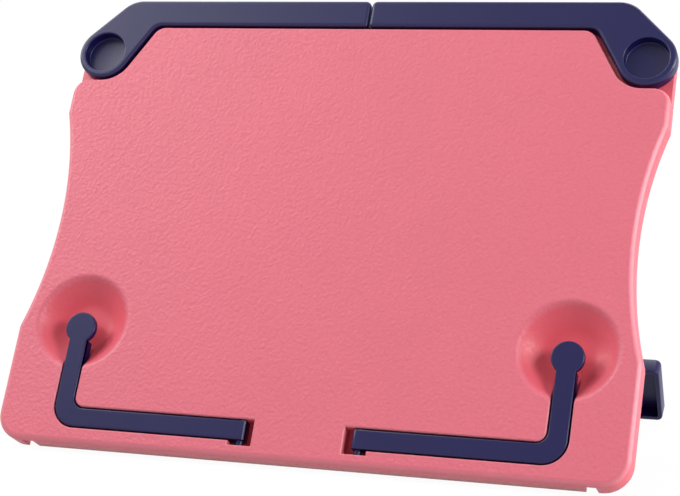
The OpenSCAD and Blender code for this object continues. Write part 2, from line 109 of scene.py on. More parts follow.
def maths(operation: str, reflected: bool = False) -> Callable[["Wire", object], "Wire"]:
    """Makes one of Wire's operators.

    Args:
        operation: What the Math node does.
        reflected: Whether the wire stands to the right of the sign.

    Returns:
        The operator's method.
    """

    def apply(wire: "Wire", other: object) -> "Wire":
        """Adds one Math node and returns its value."""
        first, second = (other, wire) if reflected else (wire, other)
        return wire.nodes.node("ShaderNodeMath", {"operation": operation}, {0: first, 1: second})

    return apply


@dataclass(frozen=True)
class Wire:
    """A socket of a node tree that Python arithmetic extends."""

    nodes: "Nodes"
    socket: bpy.types.NodeSocket | None

    __add__, __radd__ = maths("ADD"), maths("ADD", True)
    __sub__, __rsub__ = maths("SUBTRACT"), maths("SUBTRACT", True)
    __mul__, __rmul__ = maths("MULTIPLY"), maths("MULTIPLY", True)
    __pow__ = maths("POWER")


class Nodes:
    """Adds nodes to one tree."""

    def __init__(self, tree: bpy.types.NodeTree) -> None:
        """Starts the tree empty."""
        self.tree = tree
        tree.nodes.clear()

    def node(self, kind: str, settings: dict | None = None, inputs: dict | None = None,
             out: int | str = 0) -> Wire:
        """Adds a node.

        Args:
            kind: The node's type.
            settings: Its settings.
            inputs: Values or wires for its sockets, by name or number.
            out: The output socket to return.

        Returns:
            The chosen output as a wire.
        """
        made = self.tree.nodes.new(kind)
        for name, value in (settings or {}).items():
            setattr(made, name, value)
        for name, value in (inputs or {}).items():
            if isinstance(value, Wire):
                self.tree.links.new(value.socket, made.inputs[name])
            else:
                made.inputs[name].default_value = value
        return Wire(self, made.outputs[out] if made.outputs else None)

    def mix(self, share: object, low: object, high: object) -> Wire:
        """Mixes two colours by share, from low at 0 to high at 1."""
        return self.node("ShaderNodeMix", {"data_type": "RGBA"},
                         {0: share, 6: low, 7: high}, out=2)

    def place(self) -> Wire:
        """Reads where a point is, in the object's own coordinates."""
        return self.node("ShaderNodeTexCoord", out="Object")

    def attribute(self, name: str) -> Wire:
        """Reads one of the numbers that a piece's points carry."""
        return self.node("ShaderNodeAttribute", {"attribute_name": name}, out="Fac")

    def noise(self, place: Wire, scale: float, detail: float = 2.0, out: int | str = 0) -> Wire:
        """Adds cloud noise with scale features to a metre."""
        return self.node("ShaderNodeTexNoise", inputs={
            "Vector": place, "Scale": scale, "Detail": detail, "Roughness": 0.5}, out=out)

    def streaks(self, place: Wire, scales: Sequence[float], detail: float = 2.0) -> Wire:
        """Adds noise that is stretched, with so many features to a metre along each axis."""
        stretched = self.node("ShaderNodeMapping", inputs={"Vector": place, "Scale": scales})
        return self.noise(stretched, 1.0, detail)

    def bump(self, strength: float, distance: float, height: Wire) -> Wire:
        """Turns a height into a normal."""
        return self.node("ShaderNodeBump", inputs={
            "Strength": strength, "Distance": distance, "Height": height})


def new_material(name: str) -> tuple[bpy.types.Material, Nodes]:
    """Makes an empty material.

    Args:
        name: Its name.

    Returns:
        The material, and what adds its nodes.
    """
    made = bpy.data.materials.new(name)
    made.use_nodes = True
    return made, Nodes(made.node_tree)


# ------------------------------------------------------------------ finishes


@dataclass(frozen=True)
class Finish:
    """A procedural finish on Object coordinates, paler where it is worn, which also paints sheen
    on rounded edges.
    """

    slot: Slot
    colour: Colour
    # The paler edge colour is partly wear and partly painted sheen.
    edge_wear_and_sheen_colour: Colour
    roughness: float
    edge_wear_and_sheen_share: float = 0.35
    dark_share: float = 0.86
    metallic: float = 0.0
    gloss: float = 0.5
    ior: float = 1.5

    def material(self) -> bpy.types.Material:
        """Builds the finish, or finds it where it is built already.

        Returns:
            The material.
        """
        name = f"{self.slot.value}_finish"
        if name in bpy.data.materials:
            return bpy.data.materials[name]
        made, nodes = new_material(name)
        shader = self.surface(nodes, nodes.place(), nodes.attribute(WEAR_AND_SHEEN))
        nodes.node("ShaderNodeOutputMaterial", inputs={"Surface": shader})
        return made

    def surface(self, nodes: Nodes, place: Wire, worn_and_sheen: Wire) -> Wire:
        """Adds the finish's own nodes and returns its shader."""
        raise NotImplementedError

    def tint(self, nodes: Nodes, shade: Wire, worn_and_sheen: Wire) -> Wire:
        """Colours the surface.

        Args:
            nodes: The tree.
            shade: 0 for the darker tone and 1 for the colour itself.
            worn_and_sheen: Where the edge colour shows: wear, and painted sheen on rounded edges.

        Returns:
            The colour.
        """
        dark = tuple(self.dark_share * c for c in self.colour)
        body = nodes.mix(shade, (*dark, 1.0), (*self.colour, 1.0))
        # Paler edges: partly wear, partly painted sheen.
        return nodes.mix(worn_and_sheen * self.edge_wear_and_sheen_share, body, (*self.edge_wear_and_sheen_colour, 1.0))

    def shader(self, nodes: Nodes, colour: Wire, roughness: Wire, normal: Wire) -> Wire:
        """Adds the shader, with what is the same all over the finish."""
        return nodes.node("ShaderNodeBsdfPrincipled", inputs={
            "Base Color": colour, "Roughness": roughness, "Normal": normal,
            "Metallic": self.metallic, "Specular IOR Level": self.gloss, "IOR": self.ior})


@dataclass(frozen=True)
class LeatherGrain(Finish):
    """Moulded plastic with a fine leather grain on its show face, and a deeper red where smooth
    that is partly its own colour and partly painted shade in the dishes.
    """

    ior: float = 1.47
    # A deeper red for smooth places, partly painted shade in the dishes.
    smooth_and_shade_colour: Colour = (0.86, 0.098, 0.140)
    grain: float = 650.0
    drift: float = 585.0
    warp: float = 390.0
    warp_by: float = 0.0009
    clouds: float = 28.0
    relief: float = 0.00024
    least_relief: float = 0.15
    pebble_height: float = 0.5
    drift_height: float = 0.9
    tone: float = 0.75
    mottle: float = 0.5
    # How much painted shade falls in the pebbles' valleys.
    valley_painted_shade: float = 0.45
    valley_dull: float = 0.2
    grain_dull: float = 0.05
    worn_flat: float = 0.8
    worn_shine: float = 0.08

    def surface(self, nodes: Nodes, place: Wire, worn_and_sheen: Wire) -> Wire:
        """Adds pebbles, mottling and the grain's relief.

        Args:
            nodes: The tree.
            place: The point's place.
            worn_and_sheen: How worn it is, with the painted sheen on its edges.

        Returns:
            The shader.
        """
        # The pebbles are pushed out of their round shape, and the drift makes them uneven.
        drift = nodes.noise(place, self.drift, 1.0)
        warped = nodes.node("ShaderNodeVectorMath", {"operation": "MULTIPLY_ADD"}, {
            0: nodes.noise(place, self.warp, out="Color"),
            1: (self.warp_by, self.warp_by, self.warp_by), 2: place})
        pebble = nodes.node("ShaderNodeTexVoronoi", {"feature": "SMOOTH_F1"}, {
            "Vector": warped, "Scale": self.grain, "Smoothness": 0.6})
        height = (1.0 - pebble) * self.pebble_height + drift * self.drift_height
        # Worn edges and smooth places keep only a little of the relief.
        grained_unshaded = nodes.attribute(GRAINED_UNSHADED)
        rough = (1.0 - worn_and_sheen * self.worn_flat) * (
            self.least_relief + grained_unshaded * (1.0 - self.least_relief))
        normal = nodes.bump(1.0, self.relief, height * rough)
        # The valleys between the pebbles get painted shade, and are duller.
        cloud = nodes.noise(place, self.clouds, 3.0)
        shade = self.tone + cloud * self.mottle - pebble * self.valley_painted_shade
        # Smooth places take the deeper smooth colour, partly painted shade in the dishes.
        colour = nodes.mix(grained_unshaded, (*self.smooth_and_shade_colour, 1.0), self.tint(nodes, shade, worn_and_sheen))
        roughness = (self.roughness + pebble * self.valley_dull - worn_and_sheen * self.worn_shine
                     + grained_unshaded * self.grain_dull)
        return self.shader(nodes, colour, roughness, normal)


@dataclass(frozen=True)
class SatinPlastic(Finish):
    """Smooth moulded plastic with a satin surface and faint rub marks."""

    gloss: float = 0.34
    satin: float = 2600.0
    clouds: float = 45.0
    rubs: tuple[float, float, float] = (60.0, 900.0, 400.0)
    rub_contrast: float = 6.0
    relief: float = 0.00001
    strength: float = 0.12
    unevenness: float = 4.0
    tone: float = 0.3
    cloud_dull: float = 0.08
    rub_dull: float = 0.15
    worn_shine: float = 0.06

    def surface(self, nodes: Nodes, place: Wire, worn_and_sheen: Wire) -> Wire:
        """Adds the satin texture and the rubs.

        Args:
            nodes: The tree.
            place: The point's place.
            worn_and_sheen: How worn it is, with the painted sheen on its edges.

        Returns:
            The shader.
        """
        satin = nodes.noise(place, self.satin)
        cloud = nodes.noise(place, self.clouds, 3.0)
        rub = nodes.streaks(place, self.rubs, 3.0) ** self.rub_contrast
        normal = nodes.bump(self.strength, self.relief, satin + cloud * self.unevenness)
        colour = self.tint(nodes, cloud + self.tone, worn_and_sheen)
        roughness = (self.roughness + cloud * self.cloud_dull + rub * self.rub_dull
                     - worn_and_sheen * self.worn_shine)
        return self.shader(nodes, colour, roughness, normal)


@dataclass(frozen=True)
class BrightSteel(Finish):
    """Plated or drawn steel with fine marks along its length."""

    metallic: float = 1.0
    drawn: tuple[float, float, float] = (150.0, 2500.0, 2500.0)
    bloom: float = 300.0
    relief: float = 0.00002
    strength: float = 0.3
    tone: float = 0.2
    mark_dull: float = 0.12
    bloom_dull: float = 0.1

    def surface(self, nodes: Nodes, place: Wire, worn_and_sheen: Wire) -> Wire:
        """Adds the drawing marks and a dull bloom.

        Args:
            nodes: The tree.
            place: The point's place.
            worn_and_sheen: How worn it is, with the painted sheen on its edges.

        Returns:
            The shader.
        """
        marks = nodes.streaks(place, self.drawn)
        bloom = nodes.noise(place, self.bloom)
        normal = nodes.bump(self.strength, self.relief, marks)
        colour = self.tint(nodes, bloom + self.tone, worn_and_sheen)
        roughness = self.roughness + marks * self.mark_dull + bloom * self.bloom_dull
        return self.shader(nodes, colour, roughness, normal)


PINK = LeatherGrain(Slot.BOARD, (0.875, 0.190, 0.254), (0.97, 0.38, 0.43), roughness=0.33,
                    edge_wear_and_sheen_share=0.4)
NAVY = SatinPlastic(Slot.NAVY, (0.007, 0.005, 0.070), (0.06, 0.06, 0.15), roughness=0.33)
STEEL = BrightSteel(Slot.STEEL, (0.60, 0.61, 0.64), (0.78, 0.79, 0.81), roughness=0.24)
SPRING = BrightSteel(Slot.WIRE, (0.42, 0.42, 0.45), (0.6, 0.6, 0.62), roughness=0.3)


# ------------------------------------------------------------------ drawing


def arc(cx: float, cy: float, r: float, start: float, stop: float, steps: int) -> Loop:
    """Points round an arc, angles in degrees."""
    turn = [math.radians(start + (stop - start) * i / steps) for i in range(steps + 1)]
    return [(cx + r * math.cos(a), cy + r * math.sin(a)) for a in turn]


def quarter(radius: float, steps: int) -> list[tuple[float, float, float]]:
    """A quarter round from a wall to a face: inset, drop, and wear with painted sheen at each
    step.
    """
    turn = [math.radians(90.0 * i / steps) for i in range(steps + 1)]
    return [(radius * (1 - math.cos(a)), radius * (1 - math.sin(a)), math.sin(2 * a))
            for a in turn]


def mirrored(half: Loop) -> Loop:
    """A loop that is alike on both sides, from its right half."""
    return half + flipped(half)


def flipped(loop: Loop) -> Loop:
    """A loop turned over to the other side, still anticlockwise."""
    return [(-x, y) for x, y in reversed(loop)]


def sides_of(loop: Loop) -> Iterable[tuple[tuple[float, float], tuple[float, float]]]:
    """Each point of a loop with the next one."""
    return zip(loop, loop[1:] + loop[:1])


def refine(loops: Sequence[Loop], step: float) -> list[Loop]:
    """Splits the long edges of loops that pair up, all in the same way.

    Args:
        loops: Loops with equal numbers of points.
        step: The longest edge that the first loop keeps, in millimetres.

    Returns:
        The finer loops, whose points still pair up.
    """
    counts = [max(1, math.ceil(math.dist(p, q) / step)) for p, q in sides_of(loops[0])]
    return [[(p[0] + (q[0] - p[0]) * k / c, p[1] + (q[1] - p[1]) * k / c)
             for (p, q), c in zip(sides_of(loop), counts) for k in range(c)]
            for loop in loops]


def within(points: np.ndarray, loop: Loop) -> np.ndarray:
    """Tells which points lie inside a loop.

    Args:
        points: One point to a row.
        loop: The loop.

    Returns:
        True or False for each point.
    """
    x, y = points.T
    hit = np.zeros(len(points), bool)
    for (x0, y0), (x1, y1) in sides_of(loop):
        if y0 != y1:
            hit ^= ((y0 > y) != (y1 > y)) & (x < (x1 - x0) * (y - y0) / (y1 - y0) + x0)
    return hit


def span(loop: Loop, at: float, level: bool) -> tuple[float, float]:
    """Finds where a straight line crosses a loop.

    Args:
        loop: The loop.
        at: The line's height where it is level, and its x where it is upright.
        level: Whether the line is level.

    Returns:
        The first and the last crossing along the line.
    """
    across, along = (1, 0) if level else (0, 1)
    hits = [p[along] + (q[along] - p[along]) * (at - p[across]) / (q[across] - p[across])
            for p, q in sides_of(loop) if (p[across] - at) * (q[across] - at) < 0]
    return min(hits), max(hits)


@dataclass
class Draft:
    """Points and faces of a piece in a drawing frame, in millimetres."""

    points: list[tuple[float, float, float]] = field(default_factory=list)
    wear_and_sheen: list[float] = field(default_factory=list)
    faces: list[tuple[int, ...]] = field(default_factory=list)

    def ring(self, loop: Loop, z: Height, wear_and_sheen: float = 0.0) -> list[int]:
        """Adds a loop.

        Args:
            loop: The loop.
            z: Its height, or a function that gives the height at any point.
            wear_and_sheen: How worn it is, with the painted sheen that comes with it, from 0 to 1.

        Returns:
            Its points' numbers.
        """
        start = len(self.points)
        self.points += [(x, y, z(x, y) if callable(z) else z) for x, y in loop]
        self.wear_and_sheen += [wear_and_sheen] * len(loop)
        return list(range(start, len(self.points)))

    def rounding(self, outline: Callable[[float], Loop], radius: float, steps: int,
                 face: float, rise: int, from_face: bool = False) -> list[list[int]]:
        """Adds the rings of a rounded edge between a flat face and a wall.

        Args:
            outline: Gives the wall's outline, drawn in by an amount.
            radius: Radius of the edge.
            steps: Steps round it.
            face: The face's height.
            rise: 1 where the wall goes up from the face, and -1 where it goes down.
            from_face: Whether the rings run from the face to the wall.

        Returns:
            The rings.
        """
        turn = quarter(radius, steps)
        return [self.ring(outline(i), face + rise * z, worn_and_sheen)
                for i, z, worn_and_sheen in (turn[::-1] if from_face else turn)]

    def loft(self, rings: Sequence[list[int]], skip: Iterable[int] = ()) -> None:
        """Joins each ring to the next, except at the edges that skip numbers."""
        n = len(rings[0])
        self.faces += [(low[i], low[(i + 1) % n], high[(i + 1) % n], high[i])
                       for low, high in zip(rings, rings[1:]) for i in range(n) if i not in skip]

    def cap(self, ring: Sequence[int]) -> None:
        """Fills a flat ring."""
        self.faces.append(tuple(ring))

    def solid(self, rings: Sequence[list[int]]) -> None:
        """Joins rings and fills both ends.

        Args:
            rings: The rings, from one end to the other.
        """
        self.loft(rings)
        self.cap(rings[0])
        self.cap(rings[-1])

    def prism(self, loop: Loop, low: float, high: float) -> None:
        """Adds a straight-sided block on a loop."""
        self.solid([self.ring(loop, low), self.ring(loop, high)])

    def box(self, low: Sequence[float], high: Sequence[float]) -> None:
        """Adds a plain block between two corners."""
        self.prism([(low[0], low[1]), (high[0], low[1]), (high[0], high[1]), (low[0], high[1])],
                   low[2], high[2])

    def sheet(self, outer: list[int], holes: Sequence[list[int]], inner: Loop = (),
              z: Height = 0.0) -> None:
        """Fills the area between an outer ring and holes with triangles.

        Args:
            outer: The ring round the area.
            holes: Rings that stay open.
            inner: Loose points inside the area.
            z: Height of the loose points.
        """
        rings = [outer, *holes]
        lookup = [i for ring in rings for i in ring] + self.ring(list(inner), z)
        spots = [Vector(self.points[i][:2]) for i in lookup]
        edges, start = [], 0
        for ring in rings:
            n = len(ring)
            edges += [(start + i, start + (i + 1) % n) for i in range(n)]
            start += n
        where, _, tris, origin, *_ = delaunay_2d_cdt(spots, edges, [], 0, 1e-6)
        middle = np.array([np.mean([where[i] for i in t], axis=0) for t in tris])
        keep = within(middle, [self.points[i][:2] for i in outer])
        for hole in holes:
            keep &= ~within(middle, [self.points[i][:2] for i in hole])
        self.faces += [tuple(lookup[origin[i][0]] for i in t)
                       for t, kept in zip(tris, keep) if kept]

    def build(self, name: str, place: Matrix, finish: Finish, flip: bool = False,
              soften: float = 0.0, segments: int = 2,
              grained_unshaded: Callable[[float, float, float], float] | None = None
              ) -> bpy.types.Object:
        """Makes the piece.

        Args:
            name: The piece's name.
            place: From the drawing frame to the model's frame.
            finish: What it is made of.
            flip: Whether it is turned over for the left side.
            soften: Width of the rounding that every hard edge gets, in millimetres.
            segments: Steps across that rounding.
            grained_unshaded: How much grain a point of the drawing has, from 0 to 1, against the
                smooth colour with its painted shade; some if left out.

        Returns:
            The finished piece, at the origin.
        """
        bm = bmesh.new()
        wear_and_sheen = bm.verts.layers.float.new(WEAR_AND_SHEEN)
        grain = bm.verts.layers.float.new(GRAINED_UNSHADED)
        verts = []
        for (x, y, z), worn_and_sheen in zip(self.points, self.wear_and_sheen):
            verts.append(bm.verts.new((-x if flip else x, y, z)))
            verts[-1][wear_and_sheen] = worn_and_sheen
            verts[-1][grain] = grained_unshaded(x, y, z) if grained_unshaded else SOME_GRAIN_UNSHADED
        for face in self.faces:
            bm.faces.new([verts[i] for i in face])
        bmesh.ops.remove_doubles(bm, verts=bm.verts, dist=1e-4)
        bmesh.ops.recalc_face_normals(bm, faces=bm.faces)
        if soften:
            hard = [e for e in bm.edges
                    if len(e.link_faces) == 2 and e.calc_face_angle() > math.radians(HARD)]
            made = set(bmesh.ops.bevel(bm, geom=hard, offset=soften, segments=segments,
                                       profile=0.5, affect="EDGES",
                                       clamp_overlap=True)["faces"])
            # Bevelled edges count as fully worn, which also paints sheen on them.
            for vert in {v for f in made for v in f.verts}:
                vert[wear_and_sheen] = float(all(f in made for f in vert.link_faces))
        bmesh.ops.triangulate(bm, faces=[f for f in bm.faces if len(f.verts) > 4])
        bm.transform(place)
        mesh = bpy.data.meshes.new(name)
        bm.to_mesh(mesh)
        bm.free()
        return shaded(name, mesh, finish, CRISP)


def put(name: str, data: bpy.types.ID) -> bpy.types.Object:
    """Makes an object and puts it in the scene.

    Args:
        name: Its name.
        data: Its mesh, lamp or camera.

    Returns:
        The object.
    """
    made = bpy.data.objects.new(name, data)
    bpy.context.scene.collection.objects.link(made)
    return made


def shaded(name: str, mesh: bpy.types.Mesh, finish: Finish, sharp: float) -> bpy.types.Object:
    """Shades a mesh, gives it its finish and puts it in the scene.

    Args:
        name: The piece's name.
        mesh: Its mesh.
        finish: What it is made of.
        sharp: Edges that turn by more than this many degrees stay crisp.

    Returns:
        The piece.
    """
    mesh.materials.clear()
    mesh.materials.append(finish.material())
    mesh.shade_smooth()
    mesh.set_sharp_from_angle(angle=math.radians(sharp))
    return put(name, mesh)


def dress(piece: bpy.types.Object, body: str, finish: Finish, *nodes: str) -> None:
    """Hands a finished piece over.

    Args:
        piece: The piece.
        body: The body that it rides on.
        finish: Not used; what it is made of, which gives its slot.
        nodes: The CAD nodes that it stands for.
    """
    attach(piece, body)
    if nodes:
        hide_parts(*nodes)
    log.info("%s: %d faces on %s", piece.name, len(piece.data.polygons), body)


# ------------------------------------------------------------------ repeated parts


class Grown:
    """A Geometry Nodes tree that grows a solid along the edges of a plain wire mesh."""

    title = "grown"
    sizes: dict[str, float] = {}

    def __init__(self, **sizes: float) -> None:
        """Builds the tree with named inputs for its sizes.

        Args:
            sizes: Sizes that differ from the tree's own.
        """
        self.values = {**self.sizes, **sizes}
        self.tree = bpy.data.node_groups.new(self.title, "GeometryNodeTree")
        panel = self.tree.interface
        panel.new_socket("Geometry", in_out="INPUT", socket_type="NodeSocketGeometry")
        kinds = {name: "NodeSocketFloat" for name in self.values}
        kinds["Material"] = "NodeSocketMaterial"
        self.keys = {name: panel.new_socket(name, in_out="INPUT", socket_type=kind).identifier
                     for name, kind in kinds.items()}
        panel.new_socket("Geometry", in_out="OUTPUT", socket_type="NodeSocketGeometry")
        nodes = Nodes(self.tree)
        entry = nodes.tree.nodes.new("NodeGroupInput")
        socket = {s.name: Wire(nodes, s) for s in entry.outputs if s.name}
        real = nodes.node("GeometryNodeRealizeInstances", inputs={0: self.grow(nodes, socket)})
        done = nodes.node("GeometryNodeSetMaterial", inputs={
            "Geometry": real, "Material": socket["Material"]})
        nodes.node("NodeGroupOutput", inputs={0: done})

    def grow(self, nodes: Nodes, socket: dict[str, Wire]) -> Wire:
        """Adds the tree's own nodes and returns their geometry."""
        raise NotImplementedError

    def build(self, name: str, paths: Sequence[Path], place: Matrix, finish: Finish,
              sharp: float = CRISP) -> bpy.types.Object:
        """Grows a piece.

        Args:
            name: The piece's name.
            paths: Points of each path; a fourth number is the radius there.
            place: From the drawing frame to the model's frame.
            finish: What it is made of.
            sharp: Edges that turn by more than this many degrees stay crisp.

        Returns:
            The finished piece, a plain mesh at the origin.
        """
        mesh = bpy.data.meshes.new(name)
        points = [p for path in paths for p in path]
        edges, start = [], 0
        for path in paths:
            edges += [(start + i, start + i + 1) for i in range(len(path) - 1)]
            start += len(path)
        mesh.from_pydata([p[:3] for p in points], edges, [])
        girth = mesh.attributes.new(GIRTH, "FLOAT", "POINT")
        girth.data.foreach_set("value", [p[3] if len(p) > 3 else 1.0 for p in points])
        source = put(name + "_path", mesh)
        modifier = source.modifiers.new(self.title, "NODES")
        modifier.node_group = self.tree
        for key, value in {**self.values, "Material": finish.material()}.items():
            modifier[self.keys[key]] = value
        graph = bpy.context.evaluated_depsgraph_get()
        made = bpy.data.meshes.new_from_object(source.evaluated_get(graph))
        source.modifiers.remove(modifier)
        bpy.data.objects.remove(source)
        made.name = name
        made.transform(place)
        grain = made.attributes.new(GRAINED_UNSHADED, "FLOAT", "POINT")
        grain.data.foreach_set("value", [SOME_GRAIN_UNSHADED] * len(made.vertices))
        return shaded(name, made, finish, sharp)


class RibTree(Grown):
    """Flat ribs that stand on edge along straight paths."""

    title = "ribs"
    sizes = {"Thickness": 1.6, "Depth": 8.0, "Round": 0.3}

    def grow(self, nodes: Nodes, socket: dict[str, Wire]) -> Wire:
        """Sweeps a rounded slat along each path.

        Args:
            nodes: The tree.
            socket: Its inputs by name.

        Returns:
            The ribs.
        """
        curve = nodes.node("GeometryNodeMeshToCurve", inputs={"Mesh": socket["Geometry"]})
        level = nodes.node("GeometryNodeSetCurveNormal", {"mode": "Z_UP"}, {"Curve": curve})
        slat = nodes.node("GeometryNodeCurvePrimitiveQuadrilateral", inputs={
            "Width": socket["Thickness"], "Height": socket["Depth"]})
        soft = nodes.node("GeometryNodeFilletCurve", {"mode": "POLY"}, {
            "Curve": slat, "Count": 2, "Radius": socket["Round"]})
        return nodes.node("GeometryNodeCurveToMesh", inputs={
            "Curve": level, "Profile Curve": soft, "Fill Caps": True})


class RodTree(Grown):
    """Round rods, pins and wires along any paths, as thick as each point says."""

    title = "rods"
    sizes = {"Radius": 1.0}
    sides = 20

    def grow(self, nodes: Nodes, socket: dict[str, Wire]) -> Wire:
        """Sweeps a circle along each path.

        Args:
            nodes: The tree.
            socket: Its inputs by name.

        Returns:
            The rods.
        """
        curve = nodes.node("GeometryNodeMeshToCurve", inputs={"Mesh": socket["Geometry"]})
        girth = nodes.node("GeometryNodeInputNamedAttribute", {"data_type": "FLOAT"},
                           {"Name": GIRTH})
        circle = nodes.node("GeometryNodeCurvePrimitiveCircle", {"mode": "RADIUS"}, {
            "Resolution": self.sides, "Radius": 1.0})
        return nodes.node("GeometryNodeCurveToMesh", inputs={
            "Curve": curve, "Profile Curve": circle, "Scale": girth * socket["Radius"],
            "Fill Caps": True})


class WireTree(RodTree):
    """Round wire with few sides, for coils."""

    title = "wires"
    sides = 8


class ScrewTree(Grown):
    """Pan-head screws with a cross recess, one at each point."""

    title = "screws"
    sizes = {"Head Radius": 4.2, "Head Height": 1.8, "Slot Length": 4.6, "Slot Width": 0.9}
    sides = 40
    taper = 0.78
    slot_lift = 0.95

    def grow(self, nodes: Nodes, socket: dict[str, Wire]) -> Wire:
        """Cuts a cross in a tapered head and sets it on every point.

        Args:
            nodes: The tree.
            socket: Its inputs by name.

        Returns:
            The screws.
        """
        tall, long, wide = (socket[k] for k in ("Head Height", "Slot Length", "Slot Width"))
        head = nodes.node("GeometryNodeMeshCone", {"fill_type": "NGON"}, {
            "Vertices": self.sides, "Side Segments": 1, "Depth": tall,
            "Radius Top": socket["Head Radius"] * self.taper,
            "Radius Bottom": socket["Head Radius"]})
        lift = nodes.node("ShaderNodeCombineXYZ", inputs={2: tall * self.slot_lift})
        for across, up in ((long, wide), (wide, long)):
            size = nodes.node("ShaderNodeCombineXYZ", inputs={0: across, 1: up, 2: tall})
            bar = nodes.node("GeometryNodeTransform", inputs={
                "Geometry": nodes.node("GeometryNodeMeshCube", inputs={"Size": size}),
                "Translation": lift})
            head = nodes.node("GeometryNodeMeshBoolean", {"operation": "DIFFERENCE"},
                              {0: head, 1: bar})
        return nodes.node("GeometryNodeInstanceOnPoints", inputs={
            "Points": socket["Geometry"], "Instance": head})


def pin_path(start: Sequence[float], stop: Sequence[float], radius: float,
             chamfer: float = 0.25) -> Path:
    """A straight path with a chamfer at both ends.

    Args:
        start: Where the pin starts.
        stop: Where it ends.
        radius: The pin's radius.
        chamfer: Width of the chamfers.

    Returns:
        The path's points with the radius at each.
    """
    a, b = Vector(start), Vector(stop)
    step = (b - a).normalized() * chamfer
    return [(*a, radius - chamfer), (*(a + step), radius), (*(b - step), radius),
            (*b, radius - chamfer)]


# ------------------------------------------------------------------ the stand


def tipped(degrees: float) -> Matrix:
    """A turn about the x axis."""
    return Matrix.Rotation(math.radians(degrees), 4, "X")


@dataclass(frozen=True)
class Stance:
    """How the board leans, and where its leg and stay turn and stand open."""

    lean: float = 29.3
    board_t: float = 11.0
    leg_v: float = 150.0
    axis_d: float = 13.6
    leg_len: float = 149.0
    leg_t: float = 9.3
    leg_gap: float = 0.35
    hinge_x: float = 40.0
    barrel_w: float = 11.2
    ear_gap: float = 0.35
    ear_t: float = 3.5
    stay_len: float = 62.0

    @property
    def ear_in(self) -> float:
        """How far an ear's inner side stands from the middle of its hinge."""
        return self.barrel_w / 2 + self.ear_gap

    @property
    def leg_in(self) -> float:
        """How far the leg's rim stands in front of its axis."""
        return self.axis_d - self.board_t - self.leg_gap

    @property
    def leg_out(self) -> float:
        """How far the leg's back stands behind its axis."""
        return self.leg_t - self.leg_in

    def lift(self, v: float, z: float) -> float:
        """Height above the ground of a point of the board."""
        tilt = math.radians(self.lean)
        return (self.board_t + z) * math.sin(tilt) + v * math.cos(tilt)

    @property
    def leg_angle(self) -> float:
        """The open leg's angle from upright, in degrees."""
        reach = math.hypot(self.leg_in, self.leg_len)
        return math.degrees(math.atan2(self.leg_in, self.leg_len)
                            + math.acos(self.lift(self.leg_v, -self.axis_d) / reach))

    @property
    def open_angle(self) -> float:
        """The angle between the board and the open leg, in degrees."""
        return self.lean + self.leg_angle

    def on_board(self) -> Matrix:
        """Places the board's drawing frame: x across, y up the face, z out of it.

        Returns:
            From that frame to the model's frame.
        """
        tilt, leg = math.radians(self.lean), math.radians(self.leg_angle)
        depth = (self.leg_v * math.sin(tilt) + self.axis_d * math.cos(tilt)
                 + self.leg_len * math.sin(leg) + self.leg_out * math.cos(leg))
        return (Matrix.Translation((0, -depth / 2 * MM, self.board_t * math.sin(tilt) * MM))
                @ tipped(90 - self.lean) @ Matrix.Diagonal((MM, MM, MM, 1)))

    def on_leg(self) -> Matrix:
        """From the leg's drawing frame, y down the leg, to the model's frame."""
        return (self.on_board() @ Matrix.Translation((0, self.leg_v, -self.axis_d))
                @ tipped(180 + self.open_angle))

    def on_stay(self) -> Matrix:
        """From the stay's drawing frame, y from its pins to its bar, to the model's frame."""
        return (self.on_leg() @ Matrix.Translation((0, self.stay_len, 0))
                @ tipped(-2 * self.open_angle))


def along_x(stand: Matrix) -> Matrix:
    """Turns a drawing of a side view, (v, z), so that its depth runs along x."""
    return stand @ Matrix(((0, 0, 1, 0), (1, 0, 0, 0), (0, 1, 0, 0), (0, 0, 0, 1)))


@dataclass(frozen=True)
class ArmSeat:
    """Where the right arm turns on the board, and the slant of the gap beside the face."""

    x: float = 137.8
    v: float = 204.7
    slant: float = 30.2
    depth: float = 6.8


